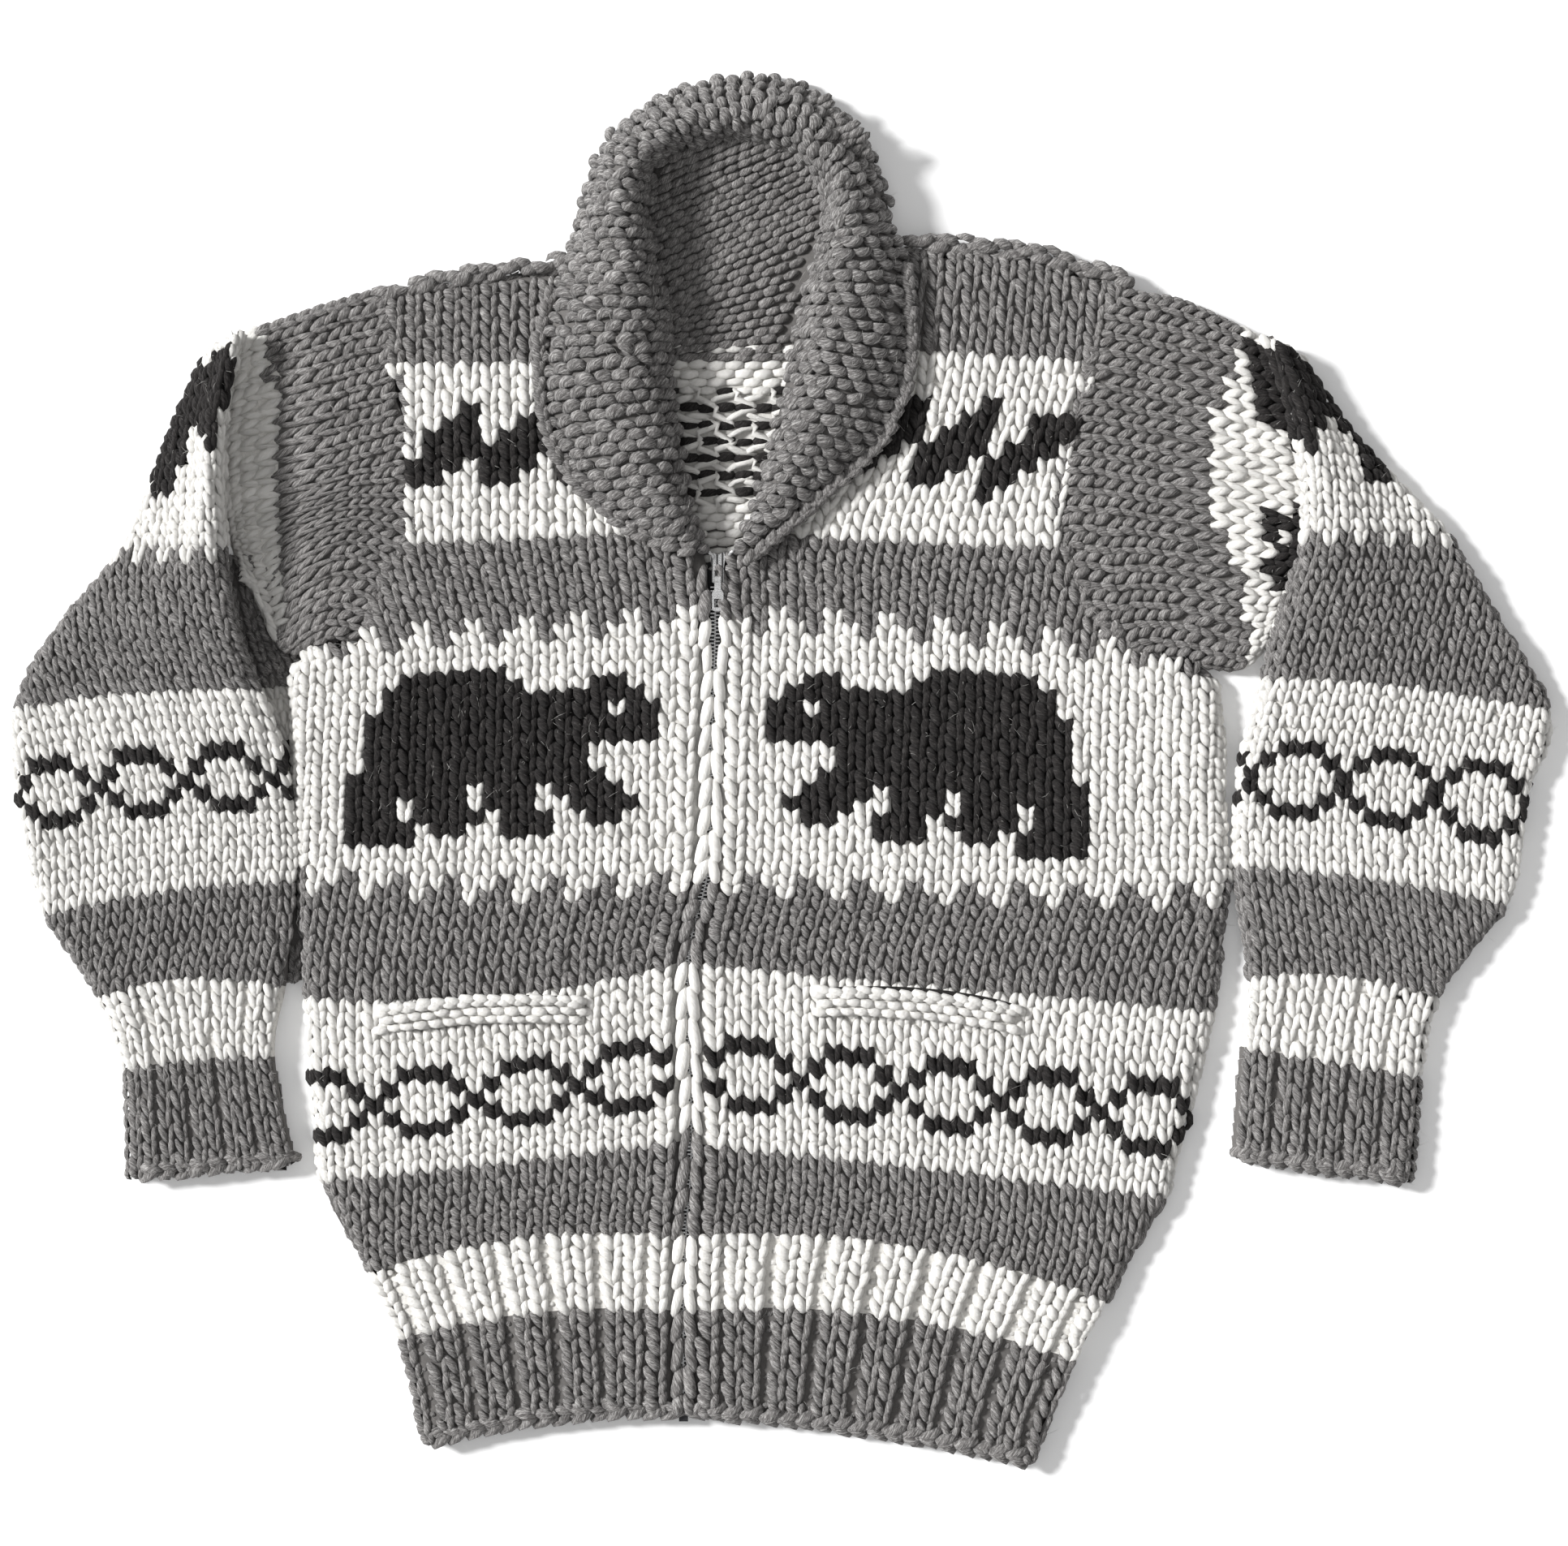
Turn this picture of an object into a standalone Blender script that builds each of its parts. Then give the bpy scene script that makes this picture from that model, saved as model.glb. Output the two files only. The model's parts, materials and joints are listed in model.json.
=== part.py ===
"""Cowichan cardigan with a shawl collar and an open-ended zip, laid flat on its back.

The knit is bulky, so each wall is 6 mm thick. Tables hold plain millimetres: +X points
to the wearer's left, +Y to the collar and +Z up, and the garment lies on z = 0.
"""

import math
from collections import namedtuple

import bmesh
import bpy

MM = 0.001
WALL = 6.0  # one layer of bulky knit
HOLLOW = 2.0  # room left between the front and the back
STACK = 2 * WALL + HOLLOW  # two layers lying on each other
FOLD = STACK / 2  # outer radius of a folded side
SEAM = 0.3  # room between two pieces at a seam
BED = STACK + 0.6  # what lies on the fronts starts here

RIB_HEIGHT = 2.4  # k2 p2 rib, knit columns over purl grooves
RIB_SHAPE = (0.0, 1.0, 0.8, 1.0)  # one repeat: purl groove, knit wale, dip, knit wale
PLAIT_AT = (0.0, 5.0, 10.0, 15.0, 20.0)  # two plaited columns along each front edge
PLAIT_RISE = (-1.0, 1.8, 0.2, 1.8, 0.0)
SIDE_ARC = (0.0, 30.0, 60.0, 90.0)  # degrees round the folded side

CORD_RADIUS = 4.6  # bound-off ridge along each shoulder
WELT_DEPTH = 17.0  # garter band under each pocket mouth
WELT_THICK = 4.4
TAPE_WIDTH = 11.0
TAPE_TOP = WALL + 1.45
TEETH_WIDTH = 2.2
TEETH_TOP = WALL + 4.4
TEETH_END = 3.2  # the teeth stop this far below the slider's pin
NECK_SLACK = 1.0  # the neck is cut this much wider than its corners
PLAIN_EDGE = 6.3  # last stretch of a front along the armhole, where it lies flat

SLIDER_WIDTH = 9.4
SLIDER_LENGTH = 19.0
SLIDER_LOW = WALL + 2.2
SLIDER_TOP = STACK + 1.0
PIN_RADIUS = 0.8
EYE_BORE = 1.15
EYE_RADIUS = 2.1
PIN_X = -39.8
PIN_Y = 117.0
PIN_Z = SLIDER_TOP + EYE_RADIUS + 0.5
EAR_GAP = 4.8
EAR_THICK = 1.3
PULL_LENGTH = 19.5
PULL_WIDTH = 7.0
PULL_THICK = 1.4
PULL_DROOP = 4.0  # degrees that the resting pull tips down towards the cloth

FrontRow = namedtuple("FrontRow", "side_x side_y mid_y inner_x inner_y ribs plait curl rise")
FRONT_LEFT = [  # the viewer's left, hem to shoulder
    FrontRow(-222.0, -416.0, -401.0, -64.0, -397.0, 0.7, 1.0, 1, -2.0),
    FrontRow(-224.0, -408.0, -393.0, -64.0, -389.0, 0.3, 1.0, 1, 1.4),
    FrontRow(-226.0, -399.0, -384.0, -64.0, -380.0, 1.0, 1.0, 1, 0.0),
    FrontRow(-237.5, -352.0, -335.0, -64.0, -334.0, 1.0, 1.0, 1, 0.0),
    FrontRow(-255.5, -310.0, -288.5, -62.5, -287.0, 1.0, 1.0, 1, 0.0),
    FrontRow(-262.0, -296.0, -276.0, -62.0, -275.0, 0.0, 1.0, 1, 0.4),
    FrontRow(-285.5, -252.5, -241.0, -59.0, -228.0, 0.0, 1.0, 1, 0.0),
    FrontRow(-294.5, -141.0, -140.0, -61.0, -119.0, 0.0, 1.0, 1, 0.0),
    FrontRow(-299.5, -59.0, -65.0, -49.0, -62.0, 0.0, 1.0, 1, 0.0),
    FrontRow(-304.0, 66.0, 78.0, -44.5, 85.0, 0.0, 1.0, 1, 0.0),
    FrontRow(-253.5, 81.5, 89.0, -44.5, 96.0, 0.0, 0.8, 0, 0.0),
    FrontRow(-245.0, 124.0, 125.5, -46.0, 132.0, 0.0, 0.0, 0, 0.0),
    FrontRow(-227.0, 143.5, 146.0, -50.0, 149.0, 0.0, 0.0, 0, 0.0),
    FrontRow(-228.0, 194.0, 197.0, -64.0, 199.0, 0.0, 0.0, 0, 0.0),
    FrontRow(-240.0, 251.0, 251.0, -73.0, 251.0, 0.0, 0.0, 0, 0.0),
    FrontRow(-247.0, 290.0, 302.0, -83.5, 312.0, 0.0, 0.0, 0, 0.0),
]
FRONT_RIGHT = [
    FrontRow(156.5, -428.5, -408.0, -58.0, -397.0, 0.7, 1.0, 1, -2.0),
    FrontRow(160.0, -418.0, -400.0, -58.0, -389.0, 0.3, 1.0, 1, 1.4),
    FrontRow(163.0, -409.0, -391.0, -58.0, -380.0, 1.0, 1.0, 1, 0.0),
    FrontRow(183.5, -365.0, -337.0, -58.0, -334.0, 1.0, 1.0, 1, 0.0),
    FrontRow(202.5, -328.5, -292.5, -56.5, -287.0, 1.0, 1.0, 1, 0.0),
    FrontRow(207.0, -315.0, -280.0, -56.0, -275.0, 0.0, 1.0, 1, 0.4),
    FrontRow(236.0, -262.0, -245.0, -53.0, -230.0, 0.0, 1.0, 1, 0.0),
    FrontRow(263.0, -148.5, -135.0, -55.0, -120.0, 0.0, 1.0, 1, 0.0),
    FrontRow(273.0, -68.5, -69.0, -43.0, -62.0, 0.0, 1.0, 1, 0.0),
    FrontRow(268.0, 56.0, 76.5, -38.5, 85.0, 0.0, 1.0, 1, 0.0),
    FrontRow(218.0, 74.0, 86.5, -37.5, 96.0, 0.0, 0.8, 0, 0.0),
    FrontRow(183.0, 106.0, 118.0, -34.0, 132.0, 0.0, 0.0, 0, 0.0),
    FrontRow(168.0, 154.0, 151.0, -25.0, 149.0, 0.0, 0.0, 0, 0.0),
    FrontRow(177.0, 204.0, 201.0, -11.0, 201.0, 0.0, 0.0, 0, 0.0),
    FrontRow(188.0, 251.0, 257.0, 2.0, 256.0, 0.0, 0.0, 0, 0.0),
    FrontRow(210.5, 298.0, 318.0, 19.5, 316.0, 0.0, 0.0, 0, 0.0),
]
ARMHOLE_START = 10  # row of the underarm in both tables
RIB_REPEATS = {"left": 5, "right": 7}
BACK_NECK_LEFT = -72.0
BACK_NECK_RIGHT = 5.0
BACK_NECK_Y = 254.0

# Soft folds in the fronts: middle, direction in degrees, half length, half width, height.
Crease = namedtuple("Crease", "x y angle long wide high")
CREASES = [
    Crease(-236.0, 98.0, 78.0, 34.0, 9.0, 3.6),
    Crease(176.0, 112.0, -70.0, 36.0, 9.0, 3.8),
    Crease(-120.0, 30.0, -6.0, 60.0, 20.0, 1.6),
    Crease(95.0, 10.0, 5.0, 75.0, 22.0, 1.8),
    Crease(-165.0, -190.0, 8.0, 60.0, 16.0, 1.4),
    Crease(175.0, -210.0, 76.0, 62.0, 22.0, 2.6),
    Crease(40.0, -330.0, 84.0, 50.0, 24.0, 2.2),
    Crease(-150.0, -320.0, 100.0, 50.0, 20.0, 1.8),
    Crease(120.0, 210.0, 84.0, 45.0, 18.0, 1.8),
    Crease(-190.0, 210.0, 92.0, 45.0, 14.0, 1.6),
]

# Upper sleeves, from the armhole out to where they pass under the folded lower sleeve.
UpperRow = namedtuple("UpperRow", "top_x top_y under_x under_y bow")
UPPER_LEFT = [
    UpperRow(-282.0, 287.0, -282.0, 77.5, 8.0),
    UpperRow(-312.0, 277.0, -308.0, 71.0, -10.0),
    UpperRow(-326.0, 272.0, -319.0, 94.0, -16.0),
    UpperRow(-337.0, 264.0, -330.0, 114.0, -13.0),
]
UPPER_RIGHT = [
    UpperRow(243.0, 291.0, 246.0, 67.0, -10.0),
    UpperRow(270.0, 280.0, 274.0, 60.5, 6.0),
    UpperRow(288.0, 271.0, 290.0, 65.0, 16.0),
    UpperRow(303.0, 262.0, 300.0, 78.0, 21.0),
]

# Lower sleeves, elbow fold to cuff. The tucked side rises on the hidden pleat. Bow bends the
# row towards the collar, tuck is 1 where the sleeve lies on its own upper half.
LowerRow = namedtuple("LowerRow", "outer_x outer_y inner_x inner_y bow outer_z inner_z tuck rib")
LOWER_LEFT = [
    LowerRow(-356.0, 260.0, -329.0, 269.0, 0.0, 14.0, 27.0, 1.0, 0.0),
    LowerRow(-376.0, 214.0, -340.0, 216.5, 0.0, 15.0, 34.0, 1.0, 0.0),
    LowerRow(-408.0, 138.0, -339.0, 138.0, 0.0, 16.0, 37.0, 1.0, 0.0),
    LowerRow(-448.0, 90.0, -332.0, 89.0, 2.0, 16.0, 34.0, 0.7, 0.0),
    LowerRow(-475.1, 37.5, -323.0, 49.0, 4.0, 15.0, 26.0, 0.3, 0.0),
    LowerRow(-471.0, -26.0, -306.0, -13.5, 4.0, 14.0, 18.0, 0.0, 0.0),
    LowerRow(-456.5, -90.0, -303.0, -68.5, 5.0, 14.0, 15.0, 0.0, 0.0),
    LowerRow(-423.0, -140.5, -309.0, -134.0, 9.0, 14.0, 14.0, 0.0, 0.3),
    LowerRow(-407.0, -186.0, -312.0, -177.5, 3.0, 14.0, 14.0, 0.0, 1.0),
    LowerRow(-405.0, -246.0, -300.5, -236.0, 0.0, 14.0, 14.0, 0.0, 1.0),
    LowerRow(-405.0, -252.0, -299.0, -242.0, 0.0, 12.0, 12.0, 0.0, 0.3),
]
LOWER_RIGHT = [
    LowerRow(322.0, 254.0, 296.0, 266.0, 0.0, 14.0, 27.0, 1.0, 0.0),
    LowerRow(352.0, 208.0, 313.0, 211.0, 0.0, 15.0, 32.0, 1.0, 0.0),
    LowerRow(410.5, 147.0, 319.0, 148.0, 0.0, 16.0, 34.0, 1.0, 0.0),
    LowerRow(440.0, 100.0, 308.0, 101.0, 2.0, 16.0, 30.0, 0.7, 0.0),
    LowerRow(475.5, 36.0, 294.5, 49.0, 4.0, 15.0, 24.0, 0.3, 0.0),
    LowerRow(460.0, -14.0, 281.5, -8.0, 4.0, 14.0, 18.0, 0.0, 0.0),
    LowerRow(449.0, -83.5, 278.5, -59.0, 4.0, 14.0, 15.0, 0.0, 0.0),
    LowerRow(405.5, -140.0, 287.0, -128.0, 7.0, 14.0, 14.0, 0.0, 0.3),
    LowerRow(395.0, -189.5, 281.5, -171.0, 0.0, 14.0, 14.0, 0.0, 1.0),
    LowerRow(390.5, -247.5, 276.5, -233.0, 0.0, 14.0, 14.0, 0.0, 1.0),
    LowerRow(390.0, -253.5, 276.0, -239.0, 0.0, 12.0, 12.0, 0.0, 0.3),
]
CUFF_REPEATS = 5
SLIT_FROM_ROW = 5  # the sleeve is open inside from here to the cuff

# Shawl collar: rays from the neck edge out to the free edge.
CollarRay = namedtuple("CollarRay", "neck_x neck_y edge_x edge_y crest edge_z")
LAPEL_LEFT = [
    CollarRay(-46.5, 134.5, -53.0, 134.0, 19.0, 17.0),
    CollarRay(-51.0, 146.5, -87.0, 143.0, 28.0, 19.0),
    CollarRay(-56.5, 166.5, -114.0, 163.0, 34.0, 21.0),
    CollarRay(-61.5, 199.0, -137.0, 189.0, 39.0, 22.0),
    CollarRay(-66.5, 239.0, -149.5, 229.0, 42.0, 22.0),
    CollarRay(-70.0, 279.0, -148.0, 277.0, 44.0, 22.0),
    CollarRay(-77.0, 308.0, -134.0, 309.0, 44.0, 22.0),
    CollarRay(-79.0, 325.0, -130.0, 325.0, 44.0, 21.0),
]
LAPEL_RIGHT = [
    CollarRay(-28.0, 133.5, -24.0, 126.0, 19.0, 17.0),
    CollarRay(-21.5, 153.5, 0.5, 146.5, 26.0, 19.0),
    CollarRay(-13.5, 181.0, 30.5, 173.0, 33.0, 21.0),
    CollarRay(-5.5, 211.0, 60.5, 200.0, 38.0, 22.0),
    CollarRay(3.0, 249.0, 77.5, 239.0, 40.0, 22.0),
    CollarRay(10.5, 284.0, 79.0, 279.0, 41.0, 22.0),
    CollarRay(19.0, 312.0, 75.5, 314.0, 41.0, 22.0),
    CollarRay(21.0, 326.0, 70.5, 333.0, 41.0, 21.0),
]
BACK_ROLL = [
    CollarRay(-79.0, 325.5, -130.0, 325.5, 44.0, 12.0),
    CollarRay(-82.0, 354.0, -123.5, 354.0, 43.0, 12.0),
    CollarRay(-76.0, 371.5, -113.0, 383.0, 42.0, 12.0),
    CollarRay(-63.0, 379.0, -89.5, 406.5, 41.0, 12.0),
    CollarRay(-42.0, 383.0, -59.5, 422.0, 40.0, 12.0),
    CollarRay(-21.5, 383.0, -21.5, 428.5, 40.0, 12.0),
    CollarRay(-1.0, 379.0, 10.5, 424.0, 39.0, 12.0),
    CollarRay(18.0, 366.5, 40.5, 402.5, 39.0, 12.0),
    CollarRay(25.5, 349.0, 59.0, 374.0, 40.0, 12.0),
    CollarRay(21.0, 326.5, 70.5, 333.5, 41.0, 12.0),
]
# Inside of the stand, from the back neck up into the roll: left and right end of each row.
StandRow = namedtuple("StandRow", "y left right z")
BACK_STAND = [
    StandRow(256.5, -68.0, 0.0, 7.8),
    StandRow(272.0, -70.0, 4.0, 9.0),
    StandRow(300.0, -74.0, 10.0, 11.0),
    StandRow(330.0, -84.0, 20.0, 12.5),
    StandRow(362.0, -86.0, 28.0, 13.5),
    StandRow(392.0, -64.0, 15.0, 14.0),
]
ROLL_STEPS = 10
STAND_STEPS = 6

Welt = namedtuple("Welt", "left_x left_y right_x right_y")
WELTS = {
    "pocket_welt_left": Welt(-250.0, -147.0, -121.0, -141.0),
    "pocket_welt_right": Welt(20.0, -135.5, 148.0, -147.0),
}
WELT_BOW = 3.5
WELT_STEPS = 8
WELT_SECTION = ((0.0, 1.2, 0.5), (0.5, 0.9, 0.0), (1.0, -1.2, 0.0))  # share down, rise over, gap under

ShoulderEnd = namedtuple("ShoulderEnd", "outer_x outer_y mid_x mid_y inner_x inner_y")
SHOULDER_POINTS = 9
SHOULDERS = {
    "shoulder_seam_left": ShoulderEnd(-246.0, 294.8, -190.0, 305.3, -134.0, 312.3),
    "shoulder_seam_right": ShoulderEnd(209.0, 303.5, 142.0, 321.5, 76.0, 324.0),
}

Wool = namedtuple("Wool", "red green blue rough metal")
FINISHES = {
    "grey wool": Wool(0.16, 0.145, 0.14, 0.95, 0.0),
    "white wool": Wool(0.82, 0.80, 0.76, 0.95, 0.0),
    "zip metal": Wool(0.72, 0.72, 0.72, 0.3, 1.0),
    "zip tape": Wool(0.03, 0.03, 0.03, 0.8, 0.0),
}


def clear_scene():
    for old in list(bpy.data.objects):
        bpy.data.objects.remove(old, do_unlink=True)


def new_collection(name):
    made = bpy.data.collections.new(name)
    bpy.context.scene.collection.children.link(made)
    return made


def material(name):
    """The Principled material of one finish, made once."""
    if name in bpy.data.materials:
        return bpy.data.materials[name]
    finish = FINISHES[name]
    made = bpy.data.materials.new(name)
    made.use_nodes = True
    shader = made.node_tree.nodes["Principled BSDF"]
    shader.inputs["Base Color"].default_value = (finish.red, finish.green, finish.blue, 1.0)
    shader.inputs["Roughness"].default_value = finish.rough
    shader.inputs["Metallic"].default_value = finish.metal
    return made


def add_mesh(name, finish, points, faces, origin=(0.0, 0.0, 0.0)):
    """One object from points in mm, with its origin moved to the given point."""
    mesh = bpy.data.meshes.new(name)
    moved = [[(value - start) * MM for value, start in zip(point, origin)] for point in points]
    mesh.from_pydata(moved, [], faces)
    cage = bmesh.new()
    cage.from_mesh(mesh)
    bmesh.ops.recalc_face_normals(cage, faces=cage.faces)
    cage.to_mesh(mesh)
    cage.free()
    mesh.shade_smooth()
    mesh.set_sharp_from_angle(angle=math.radians(50))
    mesh.materials.append(material(finish))
    made = bpy.data.objects.new(name, mesh)
    made.location = [value * MM for value in origin]
    garment.objects.link(made)
    return made


def hide_helper(helper):
    """Puts a cutter or a joined shape out of the render."""
    garment.objects.unlink(helper)
    helpers.objects.link(helper)
    helper.hide_render = True
    helper.display_type = "WIRE"


def combine(target, helper, operation):
    step = target.modifiers.new(operation.lower(), "BOOLEAN")
    step.operation = operation
    step.object = helper
    hide_helper(helper)


def slab(name, finish, outer, inner):
    """A wall between two grids of points of the same size."""
    rows = len(outer)
    columns = len(outer[0])
    points = [point for grid in (outer, inner) for row in grid for point in row]
    size = rows * columns

    def at(layer, row, column):
        return layer * size + row * columns + column

    faces = []
    for row in range(rows - 1):
        for column in range(columns - 1):
            for layer in (0, 1):
                corners = [(row, column), (row, column + 1), (row + 1, column + 1), (row + 1, column)]
                faces.append([at(layer, *corner) for corner in corners])
        for column in (0, columns - 1):
            faces.append([at(0, row, column), at(0, row + 1, column),
                          at(1, row + 1, column), at(1, row, column)])
    for column in range(columns - 1):
        for row in (0, rows - 1):
            faces.append([at(0, row, column), at(0, row, column + 1),
                          at(1, row, column + 1), at(1, row, column)])
    return add_mesh(name, finish, points, faces)


def ring_faces(rings, start=0):
    """Quads between neighbouring closed rings, all of one length."""
    count = len(rings[0])
    faces = []
    for step in range(len(rings) - 1):
        for place in range(count):
            after = (place + 1) % count
            low = start + step * count
            faces.append([low + place, low + after, low + count + after, low + count + place])
    return faces


def loft(name, finish, rings, origin=(0.0, 0.0, 0.0)):
    """A solid through closed rings, with a flat cap at each end."""
    points = [point for ring in rings for point in ring]
    count = len(rings[0])
    faces = ring_faces(rings)
    faces.append(list(range(count)))
    faces.append(list(range(len(points) - count, len(points))))
    return add_mesh(name, finish, points, faces, origin)


def tube(name, finish, outer, inner):
    """A wall between outer and inner rings, open at both ends."""
    points = [point for rings in (outer, inner) for ring in rings for point in ring]
    count = len(outer[0])
    size = len(outer) * count
    faces = ring_faces(outer) + ring_faces(inner, size)
    for low in (0, size - count):
        for place in range(count):
            after = (place + 1) % count
            faces.append([low + place, low + after, size + low + after, size + low + place])
    return add_mesh(name, finish, points, faces)


def through(first, middle, last, at):
    """Parabola through three values at 0, 0.5 and 1."""
    return (first * (2 * at - 1) * (at - 1)
            + 4 * middle * at * (1 - at)
            + last * at * (2 * at - 1))


def smooth(value):
    value = min(1.0, max(0.0, value))
    return value * value * (3 - 2 * value)


def between(rows, at):
    """A row of a table between two of its own, on a smooth curve through all of them."""
    low = min(int(at), len(rows) - 2)
    part = at - low
    picked = [rows[max(0, min(len(rows) - 1, low + step))] for step in (-1, 0, 1, 2)]
    values = []
    for before, first, last, beyond in zip(*picked):
        turn = (2 * first + (last - before) * part
                + (2 * before - 5 * first + 4 * last - beyond) * part ** 2
                + (3 * first - before - 3 * last + beyond) * part ** 3)
        values.append(turn / 2)
    return type(rows[0])(*values)


def crease_lift(x, y):
    """Height that the soft folds give the front at a place."""
    lift = 0.0
    for crease in CREASES:
        turn = math.radians(crease.angle)
        along = (x - crease.x) * math.cos(turn) + (y - crease.y) * math.sin(turn)
        across = (y - crease.y) * math.cos(turn) - (x - crease.x) * math.sin(turn)
        lift += crease.high * math.exp(-(along / crease.long) ** 2 - (across / crease.wide) ** 2)
    return lift


def front_columns(row, repeats):
    """(distance from the inner edge, rise) of each column over the flat of one row."""
    width = abs(row.side_x - row.inner_x)
    flat = width - FOLD * row.curl
    columns = []
    for distance, rise in zip(PLAIT_AT, PLAIT_RISE):
        columns.append((distance, rise * row.plait))
    count = repeats * len(RIB_SHAPE)
    start = PLAIT_AT[-1]
    for place in range(1, count):
        shape = RIB_SHAPE[place % len(RIB_SHAPE)]
        rise = RIB_HEIGHT * (shape - 0.6) * row.ribs
        columns.append((start + (flat - start) * place / count, rise))
    return columns, flat, width


def front_grids(rows, repeats):
    """Outer and inner points of one front, edge of the zip to the folded side."""
    outer = []
    inner = []
    for row in rows:
        away = math.copysign(1.0, row.side_x - row.inner_x)
        columns, flat, width = front_columns(row, repeats)
        over = []
        under = []
        for distance, rise in columns:
            x = row.inner_x + away * distance
            y = through(row.inner_y, row.mid_y, row.side_y, distance / width)
            lift = crease_lift(x, y) * smooth((flat - distance) / 30.0)
            over.append((x, y, STACK + lift + rise + row.rise))
            under.append((x, y, STACK - WALL + lift - min(0.0, row.rise) * 0.5))
        for degrees in SIDE_ARC:
            turn = math.radians(degrees)
            for grid, radius in ((over, FOLD), (under, FOLD - WALL)):
                if row.curl:
                    reach = flat + radius * math.sin(turn)
                    height = max(FOLD + radius * math.cos(turn), FOLD + SEAM / 2)
                else:
                    reach = width - PLAIN_EDGE * (1.0 - degrees / 90.0)
                    height = FOLD + radius
                y = through(row.inner_y, row.mid_y, row.side_y, reach / width)
                grid.append((row.inner_x + away * reach, y, height))
        outer.append(over)
        inner.append(under)
    return outer, inner


def build_fronts():
    for side, rows in (("left", FRONT_LEFT), ("right", FRONT_RIGHT)):
        outer, inner = front_grids(rows, RIB_REPEATS[side])
        slab(f"front_{side}", "grey wool", outer, inner)


def back_row(left, right, top):
    """Plan points of the back between the folded sides, with the neck cut into the top row."""
    points = []
    spans = (
        (left.side_x + FOLD * left.curl, BACK_NECK_LEFT, 6),
        (BACK_NECK_LEFT, BACK_NECK_RIGHT, 4),
        (BACK_NECK_RIGHT, right.side_x - FOLD * right.curl, 6),
    )
    for part, (start, end, count) in enumerate(spans):
        for place in range(count + (part == 2)):
            x = start + (end - start) * place / count
            if x < left.inner_x:
                at = (x - left.inner_x) / (left.side_x - left.inner_x)
                y = through(left.inner_y, left.mid_y, left.side_y, at)
            else:
                at = max(0.0, (x - right.inner_x) / (right.side_x - right.inner_x))
                y = through(right.inner_y, right.mid_y, right.side_y, at)
            if top and BACK_NECK_LEFT - NECK_SLACK < x < BACK_NECK_RIGHT + NECK_SLACK:
                y = BACK_NECK_Y
            points.append((x, y))
    return points


def build_back():
    """The back lies under both fronts and folds up at the sides to meet them."""
    outer = []
    inner = []
    for number, (left, right) in enumerate(zip(FRONT_LEFT, FRONT_RIGHT)):
        flat = back_row(left, right, number == len(FRONT_LEFT) - 1)
        lip = min(0.0, left.rise)
        under = [(x, y, 0.0) for x, y in flat]
        over = [(x, y, WALL + lip * 0.5) for x, y in flat]
        for row, away, (x, y) in ((left, -1.0, flat[0]), (right, 1.0, flat[-1])):
            for grid, radius in ((under, FOLD), (over, FOLD - WALL)):
                rise = []
                for degrees in SIDE_ARC[1:]:
                    turn = math.radians(degrees) * row.curl
                    reach = radius * math.sin(turn) if row.curl else 0.3 * degrees / 90.0
                    height = FOLD - radius * math.cos(turn)
                    rise.append((x + away * reach, y, min(height, FOLD - SEAM / 2)))
                if away < 0:
                    grid[:0] = reversed(rise)
                else:
                    grid.extend(rise)
        outer.append(under)
        inner.append(over)
    slab("back", "grey wool", outer, inner)


def section_ring(line, height, inset):
    """A flattened ring round a line of plan points, folded at both ends."""
    middle = FOLD
    ring = [(x, y, middle + height) for x, y in line]
    for end, step in ((-1, 1), (0, -1)):
        x, y = line[end]
        before_x, before_y = line[end - step] if end else line[1]
        length = math.hypot(x - before_x, y - before_y)
        out_x, out_y = (x - before_x) / length, (y - before_y) / length
        for degrees in (45.0, 90.0, 135.0):
            turn = math.radians(degrees)
            reach = inset * math.sin(turn)
            ring.append((x + out_x * reach, y + out_y * reach, middle + height * math.cos(turn) * step))
        if end:
            ring.extend((x, y, middle - height) for x, y in reversed(line))
    return ring


def build_upper_sleeve(side, rows, front_rows):
    """A flattened tube from the armhole to under the folded lower sleeve."""
    away = -1.0 if side == "left" else 1.0
    seam_rows = list(reversed(front_rows[ARMHOLE_START:]))
    lines = [[(row.side_x + away * (SEAM + 0.5), row.side_y) for row in seam_rows]]
    count = len(seam_rows)
    for row in rows:
        line = []
        for place in range(count):
            at = place / (count - 1)
            x = row.top_x + (row.under_x - row.top_x) * at + 4 * row.bow * at * (1 - at)
            line.append((x, row.top_y + (row.under_y - row.top_y) * at))
        lines.append(line)
    outer = []
    inner = []
    for line in lines:
        trimmed = list(line)
        for end, neighbour in ((0, 1), (-1, -2)):
            (x, y), (next_x, next_y) = line[end], line[neighbour]
            part = FOLD / math.hypot(next_x - x, next_y - y)
            trimmed[end] = (x + (next_x - x) * part, y + (next_y - y) * part)
        outer.append(section_ring(trimmed, FOLD, FOLD))
        inner.append(section_ring(trimmed, HOLLOW / 2, FOLD - WALL))
    tube(f"sleeve_upper_{side}", "grey wool", outer, inner)


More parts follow.
